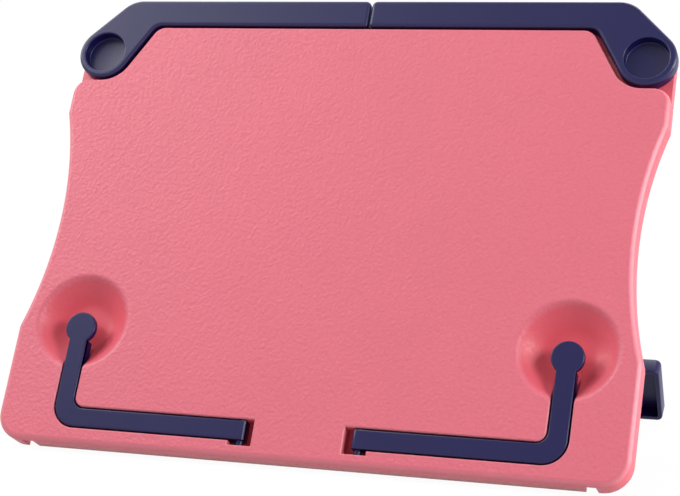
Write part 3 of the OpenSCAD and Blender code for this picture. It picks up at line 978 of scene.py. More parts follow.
@dataclass(frozen=True)
class ClipLine:
    """The line of a page clip and of the trough that it lies in."""

    width: float = 8.9
    depth: float = 7.0
    foot_v: float = 8.25
    hinge_x: float = 28.3
    tail: float = 2.6
    end_gap: float = 4.0
    out_x: float = 122.6
    bend_r: float = 11.0
    inner_r: float = 5.5
    knob_r: float = 7.6
    knob_t: float = 3.0
    knob_v: float = 57.1
    neck: float = 6.1
    gap: float = 0.8
    pocket_w: float = 11.5
    pocket_v: float = 5.45

    @property
    def top_v(self) -> float:
        """Upper edge of the clip's level bar."""
        return self.foot_v + self.width

    @property
    def in_x(self) -> float:
        """Inner edge of the clip's upright."""
        return self.out_x - self.width

    @property
    def end_x(self) -> float:
        """Inner end of the trough."""
        return self.hinge_x - self.tail - self.end_gap

    def bends(self, g: float) -> tuple[Loop, Loop]:
        """Draws the outer and the inner bend.

        Args:
            g: How much the line has grown.

        Returns:
            The outer bend and the inner bend.
        """
        outer = arc(self.out_x - self.bend_r, self.foot_v + self.bend_r, self.bend_r + g,
                    -90, 0, 12)
        inner = arc(self.in_x - self.inner_r, self.top_v + self.inner_r, self.inner_r - g,
                    0, -90, 8)
        return outer, inner

    def trough(self, g: float) -> Loop:
        """Draws the trough with the pocket that shows the pin.

        Args:
            g: How much the trough has grown.

        Returns:
            Its outline.
        """
        reach = self.gap + g
        outer, inner = self.bends(reach)
        x0, x1 = self.end_x - g, self.end_x + self.pocket_w + g
        return ([(x0, self.pocket_v - g), (x1, self.pocket_v - g), (x1, self.foot_v - reach)]
                + outer + [(self.out_x + reach, self.knob_v), (self.in_x - reach, self.knob_v)]
                + inner + [(x0, self.top_v + reach)])

    def bar(self, g: float, end: float, top: Loop) -> Loop:
        """Draws the clip round to its upper end.

        Args:
            g: How much the clip is drawn in.
            end: How much it is drawn in at the hinge.
            top: The upper end.

        Returns:
            The clip's outline.
        """
        outer, inner = self.bends(-g)
        x = self.hinge_x - self.tail + end
        return [(x, self.foot_v + g)] + outer + top + inner + [(x, self.top_v - g)]

    def with_knob(self, g: float, end: float) -> Loop:
        """Draws the clip's thin part, which carries the knob.

        Args:
            g: How much it is drawn in.
            end: How much it is drawn in at the hinge.

        Returns:
            Its outline.
        """
        r, half = self.knob_r - g, self.width / 2 - g
        open_a = math.degrees(math.acos(half / r))
        return self.bar(g, end, arc(self.out_x - self.width / 2, self.knob_v, r, -open_a,
                                    180 + open_a, 32))

    def below_knob(self, g: float, end: float) -> Loop:
        """Draws the clip's thick part, which stops at the knob's neck.

        Args:
            g: How much it is drawn in.
            end: How much it is drawn in at the hinge.

        Returns:
            Its outline.
        """
        top_v = self.knob_v - self.neck - g
        return self.bar(g, end, [(self.out_x - g, top_v), (self.in_x + g, top_v)])


@dataclass(frozen=True)
class Dish:
    """A finger dish in the reading face, with a soft rim and a flat bottom."""

    x: float = 118.0
    v: float = 60.3
    radius: float = 23.3
    depth: float = 8.2
    ball: float = 32.0
    rim: float = 1.0
    skin: float = 1.9
    bottom: float = 0.8
    face: float = 2.4
    deepest: float = 9.0
    fade: float = 0.45
    spacing: float = 1.6
    # Circles of points: evenly spaced in the bowl, and close together over the rim.
    circles: tuple[float, ...] = (*(1.4 * i for i in range(1, 15)), 20.7, 21.6, 22.2, 22.7, 23.1,
                                  23.5, 23.9, 24.4, 25.0, 25.8)

    def sink(self, x: float, v: float, skin: float = 0.0, face: float = 0.0) -> float:
        """Works out how deep the dish is at a point.

        Args:
            x: The point's place across the board, on either side.
            v: Its place up the board.
            skin: How much the dish has grown outwards, for its back.
            face: How far behind the reading face the surface lies.

        Returns:
            The depth below that surface.
        """
        r = math.hypot(abs(x) - self.x, v - self.v)
        ball = self.ball + skin
        if r >= ball:
            return 0.0
        lift = math.sqrt(self.ball ** 2 - self.radius ** 2)
        raw = math.sqrt(ball ** 2 - r ** 2) - lift - face
        if raw < self.rim:
            return (raw + self.rim) ** 2 / (4 * self.rim) if raw > -self.rim else 0.0
        over = raw - (self.depth + skin - face - self.bottom)
        if over <= 0:
            return raw
        spare = 2 * self.bottom
        return raw - over ** 2 / (2 * spare) if over < spare else raw - over + self.bottom

    def front(self, x: float, v: float) -> float:
        """The reading face's height."""
        return -self.sink(x, v)

    def back(self, x: float, v: float) -> float:
        """The height of the face's back, which bulges behind the dish."""
        return max(-self.face - self.sink(x, v, self.skin, self.face), -self.deepest)

    def outside(self, x: float, v: float) -> float:
        """How far a point is out of the dish: 1 from the rim on, and 0 nearer the middle."""
        share = math.hypot(abs(x) - self.x, v - self.v) / self.radius
        return min(1.0, max(0.0, (share - 1 + self.fade) / self.fade))

    def spots(self, keep_off: Loop) -> Loop:
        """Spreads points over the dish.

        Args:
            keep_off: A loop that stays bare.

        Returns:
            The points.
        """
        found = [(self.x, self.v)]
        for k, r in enumerate(self.circles):
            n = max(8, round(2 * math.pi * r / self.spacing))
            start = 180 * (k % 2) / n
            found += arc(self.x, self.v, r, start, start + 360 * (n - 1) / n, n - 1)
        inside = within(np.array(found), keep_off)
        return [p for p, hit in zip(found, inside) if not hit]


@dataclass
class Board:
    """The moulded board: rounded face, skirt, troughs, dishes and what stands on its back."""

    stance: Stance
    clip: ClipLine
    seat: ArmSeat
    dish: Dish = field(default_factory=Dish)
    width: float = 302.0
    height: float = 219.0
    wall: float = 2.0
    edge: float = 2.4
    top_edge: float = 0.9
    back_edge: float = 0.5
    rim_cut: float = 0.3
    rim_wear_and_sheen: float = 0.3
    margin: float = 0.35
    # The outline: corner, scooped side between hip and brow, shoulder, step and head.
    corner_r: float = 13.0
    scoop_d: float = 8.75
    scoop_r: float = 190.0
    waist_v: float = 113.3
    hip_r: float = 9.0
    brow_r: float = 3.0
    shoulder_r: float = 8.0
    step_r: float = 15.4
    step_gap: float = 0.9
    head_r: float = 7.0
    turn_steps: int = 12
    head_steps: int = 10
    slot_x: float = 134.0
    slot_w: float = 5.5
    # The ledge behind the arms.
    ledge_w: float = 4.0
    ledge_gap: float = 0.35
    # The troughs of the page clips, and the blocks beside their ends.
    lip: float = 0.55
    lip_gap: float = 0.06
    lip_margin: float = 0.3
    front_clear: float = 0.9
    back_clear: float = 0.7
    trough_d: float = 7.6
    trough_floor: float = 1.6
    trough_wall: float = 1.6
    trough_edge: tuple[tuple[float, float, float], ...] = (
        (0.0, 0.15, 0.0), (0.2, 0.04, 0.6), (0.6, 0.0, 0.0))
    trough_step: float = 1.5
    guard_gap: float = 0.3
    guard_top: float = 5.4
    guard_w: float = 11.8
    # The ribs.
    rib_t: float = 1.6
    rib_d: float = 8.0
    rib_foot: float = 24.0
    upright_ribs: tuple[float, ...] = (-120, -90, -60, -30, 30, 60, 90, 120)
    level_ribs: tuple[float, ...] = (28, 84.5, 113, 141.5, 170, 198)
    # The ears of the leg's hinge, and the rack.
    ear_r: float = 3.6
    ear_foot: float = 10.0
    rack_x: float = 11.0
    rack_d: float = 4.5
    rack_foot: float = 2.2
    rack_head: float = 3.5
    notch_count: int = 4
    notch_step: float = 6.0
    notch_r: float = 2.1
    tooth: float = 2.4
    hook: float = 0.3

    @property
    def brow_v(self) -> float:
        """Height at which the scooped side ends."""
        reach = self.scoop_r - self.scoop_d + self.brow_r
        return self.waist_v + math.sqrt((self.scoop_r + self.brow_r) ** 2 - reach ** 2)

    def half(self, side: float, top: float) -> Loop:
        """Draws the right half of the face's outline.

        Args:
            side: How much it is drawn in below the shoulder.
            top: How much it is drawn in along the step and the head.

        Returns:
            The points from the foot to the head.
        """
        w, r, b, s = self.width / 2, self.scoop_r, self.brow_r, self.shoulder_r
        cx = w - self.scoop_d + r
        hip_x, brow_x = w - self.hip_r, w - b
        hip_v = self.waist_v - math.sqrt((r + self.hip_r) ** 2 - (cx - hip_x) ** 2)
        hip_a = math.degrees(math.atan2(self.waist_v - hip_v, cx - hip_x))
        brow_a = math.degrees(math.atan2(self.brow_v - self.waist_v, cx - brow_x))
        step_v = self.seat.v - self.step_r
        tilt, step_x = math.radians(self.seat.slant), self.seat.x - self.step_gap
        head_x = step_x - (self.step_r + self.head_r + math.sin(tilt) * (
            self.height - self.head_r - self.seat.v)) / math.cos(tilt)
        shoulder = []
        for i in range(self.turn_steps + 1):
            turn = math.radians(90 / self.turn_steps * i)
            reach = s - side - (top - side) * i / self.turn_steps
            shoulder.append((w - s + reach * math.cos(turn), step_v - s + reach * math.sin(turn)))
        return ([(self.slot_x - self.slot_w / 2, side), (self.slot_x + self.slot_w / 2, side)]
                + arc(w - self.corner_r, self.corner_r, self.corner_r - side, -90, 0, 14)
                + arc(hip_x, hip_v, self.hip_r - side, 0, hip_a, 6)
                + arc(cx, self.waist_v, r + side, 180 + hip_a - 1, 180 - brow_a + 1, 28)
                + arc(brow_x, self.brow_v, b - side, -brow_a, 0, 4) + shoulder
                + arc(step_x, self.seat.v, self.step_r + top, 270, 180 + self.seat.slant,
                      self.turn_steps)
                + arc(head_x, self.height - self.head_r, self.head_r - top, self.seat.slant, 90,
                      self.head_steps))

    def outline(self, g: float) -> Loop:
        """The skirt's outline, drawn in evenly by g."""
        return mirrored(self.half(g, g))

    def face_outline(self, g: float) -> Loop:
        """The face's outline, drawn in by g, and less along the top, where its edge is crisper."""
        return mirrored(self.half(g, g * self.top_edge / self.edge))

    def troughs(self, grown: Sequence[float]) -> list[list[Loop]]:
        """Draws the troughs.

        Args:
            grown: How much each outline of a trough has grown.

        Returns:
            The right trough's outlines and the left one's.
        """
        right = refine([self.clip.trough(g) for g in grown], self.trough_step)
        return [right, [flipped(loop) for loop in right]]

    def loose(self, g: float) -> Loop:
        """Points over both dishes, off the troughs when those have grown by g."""
        spots = self.dish.spots(self.clip.trough(g))
        return spots + [(-x, v) for x, v in spots]

    def bed(self, x: float, v: float) -> float:
        """The height of a trough's floor, which stays below the dish."""
        return min(-self.trough_d, self.dish.front(x, v) - 2 * self.lip_gap)

    def lip_height(self, drop: float) -> Callable[[float, float], float]:
        """Makes the height of a trough's rounded lip.

        Args:
            drop: How far the lip lies below the face.

        Returns:
            Its height at any point, which stays above the trough's floor.
        """

        def height(x: float, v: float) -> float:
            """The lip's height at a point."""
            return max(self.dish.front(x, v) - drop, self.bed(x, v) + self.lip_gap)

        return height

    def grained_unshaded(self, x: float, v: float, z: float) -> float:
        """How much grain a point of the shell has, against the smooth colour with its painted
        shade: the dishes have none, the walls little.
        """
        down = min(1.0, max(0.0, (-z - self.edge / 2) / (self.edge / 2)))
        return self.dish.outside(x, v) * (1.0 - (1.0 - SOME_GRAIN_UNSHADED) * down)

    def skirt(self, d: Draft) -> tuple[list[int], list[int]]:
        """Draws the skirt and the face's rounded edge.

        Args:
            d: The shell's draft.

        Returns:
            The ring round the reading face and the ring round its back.
        """
        back, cut = -self.stance.board_t, self.rim_cut
        walls = [d.ring(self.outline(self.wall), -self.dish.face),
                 d.ring(self.outline(self.wall), back + cut),
                 d.ring(self.outline(self.wall - cut), back, self.rim_wear_and_sheen)]
        walls += d.rounding(self.outline, self.back_edge, 3, back, 1, from_face=True)
        rounded = d.rounding(self.face_outline, self.edge, 8, 0.0, -1)
        walls.append(rounded[0])
        slots = {0, len(walls[0]) - 2}
        d.loft(walls, slots)
        for i in slots:
            d.cap([walls[0][i], walls[0][i + 1], walls[-1][i + 1], walls[-1][i]])
            for j in (i, i + 1):
                d.cap([ring[j] for ring in walls])
        rounded.append(d.ring(mirrored(self.half(self.edge + self.margin,
                                                 self.top_edge + self.margin)), 0.0))
        d.loft(rounded)
        return rounded[-1], walls[0]

    def front_troughs(self, d: Draft) -> list[list[int]]:
        """Draws the troughs' insides and lips.

        Args:
            d: The shell's draft.

        Returns:
            The rings that they leave open in the reading face.
        """
        lips, holes = quarter(self.lip, 4), []
        for loops in self.troughs([i for i, _, _ in lips] + [self.lip + self.lip_margin]):
            rings = [d.ring(loops[0], self.bed)]
            rings += [d.ring(loop, self.lip_height(drop), worn_and_sheen)
                      for loop, (_, drop, worn_and_sheen) in zip(loops, lips)]
            rings.append(d.ring(loops[-1], self.dish.front))
            d.loft(rings)
            d.sheet(rings[0], [])
            holes.append(rings[-1])
        return holes

    def back_troughs(self, d: Draft) -> list[list[int]]:
        """Draws the troughs' backs, with a cut edge.

        Args:
            d: The shell's draft.

        Returns:
            The rings that they leave open in the face's back.
        """
        deep, holes = -self.trough_d - self.trough_floor, []
        for loops in self.troughs([self.trough_wall - inset for inset, _, _ in self.trough_edge]):
            rings = [d.ring(loops[0], self.dish.back)]
            rings += [d.ring(loop, deep + rise, worn_and_sheen)
                      for loop, (_, rise, worn_and_sheen) in zip(loops, self.trough_edge)]
            d.loft(rings)
            d.cap(rings[-1])
            holes.append(rings[0])
        return holes

    def shell(self) -> bpy.types.Object:
        """Builds the face with its rounded edge, troughs and dishes, and the skirt behind it.

        Returns:
            The piece.
        """
        d = Draft()
        face, back = self.skirt(d)
        d.sheet(face, self.front_troughs(d), self.loose(self.lip + self.front_clear),
                self.dish.front)
        d.sheet(back, self.back_troughs(d), self.loose(self.trough_wall + self.back_clear),
                self.dish.back)
        return d.build("board_shell", self.stance.on_board(), PINK, grained_unshaded=self.grained_unshaded)

    def ledge(self) -> bpy.types.Object:
        """Builds the ledge behind the arms, which closes the gap beside the reading face.

        Returns:
            The piece.
        """
        past = 2 * (self.turn_steps + 1) + self.head_steps + 1
        far = mirrored(self.half(self.wall / 2, -self.ledge_w)[-past:])
        near = mirrored(self.half(self.wall * 0.75, self.wall / 2)[-past:])
        d = Draft()
        d.prism(far + near[::-1], -self.stance.board_t + HAIR, -self.seat.depth - self.ledge_gap)
        return d.build("board_ledge", self.stance.on_board(), PINK, soften=0.5, segments=3)

    def lug(self) -> Loop:
        """Draws the lug that carries the right arm.

        Returns:
            Its outline, a hair inside the skirt.
        """
        seat, w = self.seat, self.width / 2 - 3 * FINE_HAIR
        r = w - seat.x
        tilt = math.radians(seat.slant)
        reach = self.step_r + self.wall / 2
        foot = (seat.x - reach * math.cos(tilt), seat.v - reach * math.sin(tilt))
        side = (r * math.sin(tilt), -r * math.cos(tilt))
        return ([(w, self.brow_v)] + arc(seat.x, seat.v, r, 0, 90 + seat.slant, 28)
                + [(foot[0] - side[0], foot[1] - side[1]), (foot[0] + side[0], foot[1] + side[1]),
                   (seat.x - r / 2, self.brow_v)])

    def blocks(self) -> bpy.types.Object:
        """Builds the lugs behind the arms and the guards beside the troughs' inner ends.

        Returns:
            The piece.
        """
        d, c = Draft(), self.clip
        deep = self.trough_d + self.trough_floor
        x0 = c.end_x - self.trough_wall
        pocket = (ROOT, c.pocket_v - self.guard_gap, x0 + c.pocket_w + 2 * self.trough_wall)
        bore = (c.top_v + c.gap + self.guard_gap, c.top_v + self.guard_top, x0 + self.guard_w)
        for turn in (list, flipped):
            d.prism(turn(self.lug()), -self.stance.board_t - FINE_HAIR, -self.seat.depth - HAIR)
            for v0, v1, far in (pocket, bore):
                block = [(x0, v0), (far, v0), (far, v1), (x0, v1)]
                d.prism(turn(block), 2 * HAIR - deep, -ROOT)
        return d.build("board_lugs", self.stance.on_board(), PINK, soften=0.8, segments=3)

    def ribs(self) -> bpy.types.Object:
        """Builds the grid of ribs behind the face.

        Returns:
            The piece.
        """
        loop = self.outline(self.wall / 2)
        middle = -(self.rib_d + ROOT) / 2
        near = self.clip.in_x - self.clip.gap - self.trough_wall / 2
        far = self.clip.out_x + self.clip.gap + self.trough_wall / 2
        over_dish = self.dish.v + self.dish.radius + self.trough_wall
        paths = []
        for x in self.upright_ribs:
            foot = over_dish if abs(x) > near else self.rib_foot
            paths.append([(x, foot, middle), (x, span(loop, x, False)[1], middle)])
        for v in self.level_ribs:
            low, high = span(loop, v, True)
            parts = [(low, -far), (-near, near), (far, high)]
            paths += [[(a, v, middle + 2 * FINE_HAIR), (b, v, middle + 2 * FINE_HAIR)]
                      for a, b in (parts if v < self.clip.knob_v else [(low, high)])]
        tree = RibTree(Thickness=self.rib_t, Depth=self.rib_d - ROOT, Round=0.35)
        return tree.build("board_ribs", paths, self.stance.on_board(), PINK)

    def ears(self) -> bpy.types.Object:
        """Builds four ears that carry the leg's pins.

        Returns:
            The piece.
        """
        d, s = Draft(), self.stance
        r, foot = self.ear_r, self.ear_foot
        side = ([(-r - foot, -ROOT), (-r - foot, -self.rib_d), (-r, -self.rib_d)]
                + arc(0, -s.axis_d, r, 180, 360, 20)
                + [(r, -self.rib_d), (r + foot, -self.rib_d), (r + foot, -ROOT)])
        side = [(s.leg_v + v, z) for v, z in side]
        for x in (s.hinge_x, -s.hinge_x):
            d.prism(side, x - s.ear_in - s.ear_t, x - s.ear_in)
            d.prism(side, x + s.ear_in, x + s.ear_in + s.ear_t)
        return d.build("leg_ears", along_x(s.on_board()), PINK, soften=0.45)

    def notch_v(self, i: int) -> float:
        """Height of a notch up the board."""
        s, angle = self.stance, math.radians(self.stance.open_angle + self.notch_step * i)
        return s.leg_v - 2 * s.stay_len * math.cos(angle)

    def rack(self) -> bpy.types.Object:
        """Builds the hooked rack that the stay's bar rests in.

        Returns:
            The piece.
        """
        z, r = -self.stance.axis_d, self.notch_r
        back = z - self.rack_d
        start = self.notch_v(0) - r - self.rack_foot
        end = self.notch_v(self.notch_count - 1) + r + self.rack_head
        side: Loop = [(start, -ROOT), (start, z + r)]
        for i in range(self.notch_count):
            v = self.notch_v(i)
            if i:
                mouth = v - 2 * r - self.tooth
                side += [(mouth, back), (mouth, z + r)]
            hook = v - r - self.hook
            side += arc(v, z, r, 90, -90, 10) + [(hook, z - r), (hook, back)]
        side += [(end, back), (end, -ROOT)]
        d = Draft()
        d.prism(side, -self.rack_x, self.rack_x)
        return d.build("stay_rack", along_x(self.stance.on_board()), PINK, soften=0.3)

    def dress(self) -> None:
        """Builds every piece of the board and hands them over."""
        dress(self.shell(), "board", PINK, "board")
        for piece in (self.ledge(), self.blocks(), self.ribs(), self.ears(), self.rack()):
            dress(piece, "board", PINK)


@dataclass
class SideArm:
    """A side arm that swings out of the board's top to hold wide pages."""

    stance: Stance
    seat: ArmSeat
    side: Side
    disc_r: float = 14.0
    recess_r: float = 10.6
    recess_d: float = 5.4
    recess_edge: float = 0.6
    recess_margin: float = 0.25
    recess_sides: int = 64
    bar_w: float = 14.0
    bar_v: float = 220.2
    split: float = 0.8
    tip_r: float = 2.5
    low_tip_r: float = 1.2
    least_r: float = 0.3
    bend_a: float = 45.0
    bend_r: float = 14.0
    inner_r: float = 6.0
    edge: float = 1.5
    back_edge: float = 0.4
    margin: float = 0.3
    rim: float = 1.8
    hollow: float = 4.4
    rib_t: float = 1.4
    rib_from: float = 18.7
    rib_step: float = 22.0
    rib_count: int = 5
    hub_r: float = 5.0

    @property
    def top_v(self) -> float:
        """Upper edge of the bar."""
        return self.bar_v + self.bar_w

    def inner_bend(self, g: float) -> Loop:
        """Draws the bend above the board's head.

        Args:
            g: How much the arm is drawn in.

        Returns:
            The bend, from the bar to the slant.
        """
        tilt = math.radians(self.seat.slant)
        corner = self.seat.x - (self.disc_r + math.sin(tilt) * (self.bar_v - self.seat.v)) \
            / math.cos(tilt)
        x = corner - self.inner_r * math.tan(math.radians((90 - self.seat.slant) / 2))
        return arc(x, self.bar_v - self.inner_r, self.inner_r + g, 90, self.seat.slant, 10)

    def outer_bend(self, g: float) -> Loop:
        """Draws the bend at the arm's outer corner.

        Args:
            g: How much the arm is drawn in.

        Returns:
            The bend, from the disc's side to the bar.
        """
        turn = math.radians(self.bend_a)
        x = (self.seat.x + self.disc_r / math.sin(turn) - (self.top_v - self.seat.v)
             - self.bend_r * math.tan(turn / 2))
        return arc(x, self.top_v - self.bend_r, self.bend_r - g, self.bend_a, 90, 12)

    def around(self, g: float, disc: Loop) -> Loop:
        """Draws the arm's bar round to its disc.

        Args:
            g: How much it is drawn in.
            disc: The line round or beside the disc.

        Returns:
            The whole outline.
        """
        start = self.split / 2 + g
        high, low = max(self.tip_r - g, self.least_r), max(self.low_tip_r - g, self.least_r)
        return (arc(start + low, self.bar_v + g + low, low, 180, 270, 6) + self.inner_bend(g)
                + disc + self.outer_bend(g)
                + arc(start + high, self.top_v - g - high, high, 90, 180, 8))

    def outline(self, g: float) -> Loop:
        """The arm's outline, drawn in by g."""
        return self.around(g, arc(self.seat.x, self.seat.v, self.disc_r - g,
                                  180 + self.seat.slant, 360 + self.bend_a, 40))

    def pocket(self) -> Loop:
        """Draws the hollow in the arm's back, which stops at the round end.

        Returns:
            Its outline.
        """
        turn = math.degrees(math.acos((self.disc_r - self.rim) / self.disc_r))
        return self.around(self.rim, arc(self.seat.x, self.seat.v, self.disc_r,
                                         180 + self.seat.slant - turn, self.bend_a + turn, 16))

    def recess(self, g: float) -> Loop:
        """The finger recess's circle, grown by g."""
        n = self.recess_sides
        return arc(self.seat.x, self.seat.v, self.recess_r + g, 0, 360 * (n - 1) / n, n - 1)

    def case(self) -> bpy.types.Object:
        """Builds the arm with its finger recess and the hollow in its back.

        Returns:
            The piece.
        """
        d, back = Draft(), -self.seat.depth
        outer = d.rounding(self.outline, self.back_edge, 3, back, 1, from_face=True)
        outer += d.rounding(self.outline, self.edge, 6, 0.0, -1)
        outer.append(d.ring(self.outline(self.edge + self.margin), 0.0))
        d.loft(outer)
        well = [d.ring(self.recess(-i), z - self.recess_d)
                for i, z, _ in reversed(quarter(self.recess_edge, 4))]
        well += d.rounding(self.recess, self.recess_edge, 4, 0.0, -1)
        well.append(d.ring(self.recess(self.recess_edge + self.recess_margin), 0.0))
        d.loft(well)
        d.cap(well[0])
        d.sheet(outer[-1], [well[-1]])
        hollow = [d.ring(self.pocket(), self.hollow + back), d.ring(self.pocket(), back)]
        d.loft(hollow)
        d.cap(hollow[0])
        d.sheet(outer[0], [hollow[-1]])
        return d.build(f"{self.side.word}_arm_case", self.stance.on_board(), NAVY,
                       self.side.flip)

    def ribs(self) -> bpy.types.Object:
        """Builds the ribs in the arm's hollow.

        Returns:
            The piece.
        """
        middle = -self.seat.depth + self.hollow / 2 + HAIR
        loop, paths = self.outline(self.rim / 2), []
        for k in range(self.rib_count):
            x = self.rib_from + self.rib_step * k
            paths.append([(self.side.value * x, v, middle) for v in span(loop, x, False)])
        return RibTree(Thickness=self.rib_t, Depth=self.hollow, Round=0.2).build(
            f"{self.side.word}_arm_ribs", paths, self.stance.on_board(), NAVY)

    def hub(self) -> bpy.types.Object:
        """Builds the hub that turns in the board's lug.

        Returns:
            The piece.
        """
        x, v = self.side.value * self.seat.x, self.seat.v
        path = pin_path((x, v, -self.seat.depth + ROOT), (x, v, -self.stance.board_t + 2 * HAIR),
                        self.hub_r, chamfer=0.4)
        return RodTree().build(f"{self.side.word}_arm_hub", [path], self.stance.on_board(), NAVY)

    def dress(self) -> None:
        """Builds the arm and hands it over."""
        body = f"{self.side.word}_arm"
        dress(self.case(), body, NAVY, body)
        dress(self.ribs(), body, NAVY)
        dress(self.hub(), body, NAVY)


@dataclass
class PageClip:
    """A page clip: an angled bar with a round knob, hinged at its inner end."""

    stance: Stance
    line: ClipLine
    side: Side
    edge: float = 0.6
    knob_edge: float = 0.4
    foot_edge: float = 0.5
    margin: float = 0.25
    end_r: float = 1.5
    end_steps: tuple[float, ...] = (1.5, 1.25, 1.0, 0.8)
    boss_r: float = 1.9
    boss_gap: float = 0.35

    def end(self, z: float) -> float:
        """How far the rounded end at the hinge is drawn in at a height."""
        short = max(0.0, self.end_r - min(-z, self.line.depth + z))
        return self.end_r - math.sqrt(self.end_r ** 2 - short ** 2)

    def bar(self) -> bpy.types.Object:
        """Builds the clip's bar and knob.

        Returns:
            The piece.
        """
        d, c = Draft(), self.line
        turn = [(0.0, -z, 0.0) for z in self.end_steps]
        knob = [(i, z - c.knob_t, w) for i, z, w in reversed(quarter(self.knob_edge, 3))] + turn
        knob += [(i, -z, w) for i, z, w in quarter(self.edge, 5)]
        rings = [d.ring(c.with_knob(i, self.end(z)), z, w) for i, z, w in knob]
        rings.append(d.ring(c.with_knob(self.edge + self.margin, self.end_r + self.margin), 0.0))
        d.solid(rings)
        thick = [(i, z - c.depth, w) for i, z, w in reversed(quarter(self.foot_edge, 3))]
        thick += [(0.0, z - c.depth, 0.0) for z in reversed(self.end_steps)] + turn
        d.solid([d.ring(c.below_knob(i, self.end(z)), z, w) for i, z, w in thick])
        return d.build(f"{self.side.word}_clip_bar", self.stance.on_board(), NAVY,
                       self.side.flip)

    def boss(self) -> bpy.types.Object:
        """Builds the boss round the hinge pin, below the bar.

        Returns:
            The piece.
        """
        c = self.line
        x, z = self.side.value * c.hinge_x, -c.depth / 2
        path = pin_path((x, c.pocket_v + self.boss_gap, z), (x, c.foot_v + self.boss_gap, z),
                        self.boss_r, chamfer=0.2)
        return RodTree().build(f"{self.side.word}_clip_boss", [path], self.stance.on_board(),
                               NAVY, CRISP_BOSS)

    def dress(self) -> None:
        """Builds the clip and hands it over."""
        body = f"{self.side.word}_clip"
        dress(self.bar(), body, NAVY, body)
        dress(self.boss(), body, NAVY)


@dataclass
class Leg:
    """The T-shaped leg: a shell open towards the board, with ribs inside."""

    stance: Stance
    stem_x: float = 46.0
    foot_x: float = 139.8
    foot_w: float = 33.0
    crotch_r: float = 22.0
    stem_top: float = 7.0
    end_r: float = 3.0
    least_r: float = 0.3
    wall: float = 2.2
    edge: float = 1.3
    rim_edges: tuple[float, float] = (0.5, 0.4)
    rib_x: float = 20.0
    rib_t: float = 2.6
    foot_ribs: tuple[float, ...] = (70.0, 105.0)
    foot_rib_t: float = 1.6
    barrel_r: float = 3.8
    boss_r: float = 3.2
    rib_gap: float = 0.3
    block_gap: float = 0.4

    def outline(self, g: float) -> Loop:
        """Draws the leg's outline.

        Args:
            g: How much it is drawn in.

        Returns:
            The outline.
        """
        end, bar = self.stance.leg_len, self.stance.leg_len - self.foot_w
        r = max(self.end_r - g, self.least_r)
        x, cut = self.foot_x - g - r, self.crotch_r + g
        return mirrored(arc(x, end - g - r, r, 90, 0, 6) + arc(x, bar + g + r, r, 0, -90, 6)
                        + arc(self.stem_x + self.crotch_r, bar - self.crotch_r, cut, 90, 180, 16)
                        + [(self.stem_x - g, self.stem_top + g)])

    def inner_outline(self, g: float) -> Loop:
        """The outline of the walls' insides, grown by g."""
        return self.outline(self.wall - g)

    def shell(self) -> bpy.types.Object:
        """Builds the leg's walls, back and rim.

        Returns:
            The piece.
        """
        d = Draft()
        low, high = -self.stance.leg_in, self.stance.leg_out
        outer_rim, inner_rim = self.rim_edges
        rings = d.rounding(self.outline, self.edge, 5, high, -1, from_face=True)
        rings += d.rounding(self.outline, outer_rim, 3, low, 1)
        rings += d.rounding(self.inner_outline, inner_rim, 3, low, 1, from_face=True)
        rings.append(d.ring(self.outline(self.wall), high - self.wall))
        d.solid(rings)
        return d.build("leg_shell", self.stance.on_leg(), NAVY)

    def blocks(self) -> bpy.types.Object:
        """Builds the stem's two long ribs and the blocks that carry the hinge barrels.

        Returns:
            The piece.
        """
        d, s = Draft(), self.stance
        half = s.barrel_w / 2
        for k in BOTH:
            x0, x1 = sorted((k * self.rib_x, k * (self.rib_x + self.rib_t)))
            d.box((x0, self.stem_top + self.rib_gap, FINE_HAIR - s.leg_in),
                  (x1, s.leg_len - ROOT, s.leg_out - ROOT))
            d.box((k * s.hinge_x - half, 0.0, self.block_gap - s.leg_in),
                  (k * s.hinge_x + half, self.stem_top + ROOT, self.barrel_r - HAIR))
        return d.build("leg_blocks", s.on_leg(), NAVY, soften=0.35)

    def ribs(self) -> bpy.types.Object:
        """Builds the ribs in the leg's foot.

        Returns:
            The piece.
        """
        end, depth = self.stance.leg_len, self.stance.leg_out - ROOT
        paths = [[(k * x, end - self.foot_w + ROOT, depth / 2), (k * x, end - ROOT, depth / 2)]
                 for x in self.foot_ribs for k in BOTH]
        return RibTree(Thickness=self.foot_rib_t, Depth=depth).build(
            "leg_foot_ribs", paths, self.stance.on_leg(), NAVY)

    def barrels(self) -> bpy.types.Object:
        """Builds the hinge barrels, and the bosses that the stay turns on.

        Returns:
            The piece.
        """
        s, half = self.stance, self.stance.barrel_w / 2 + 2 * FINE_HAIR
        hinges = [pin_path((k * s.hinge_x - half, 0, 0), (k * s.hinge_x + half, 0, 0),
                           self.barrel_r, chamfer=0.35) for k in BOTH]
        bosses = [pin_path((k * (self.rib_x - HAIR), s.stay_len, 0),
                           (k * (self.rib_x + self.rib_t + HAIR), s.stay_len, 0),
                           self.boss_r, chamfer=0.3) for k in BOTH]
        return RodTree().build("leg_barrels", hinges + bosses, s.on_leg(), NAVY, CRISP_BOSS)

    def dress(self) -> None:
        """Builds the leg and hands it over."""
        dress(self.shell(), "leg", NAVY, "leg")
        for piece in (self.blocks(), self.ribs(), self.barrels()):
            dress(piece, "leg", NAVY)


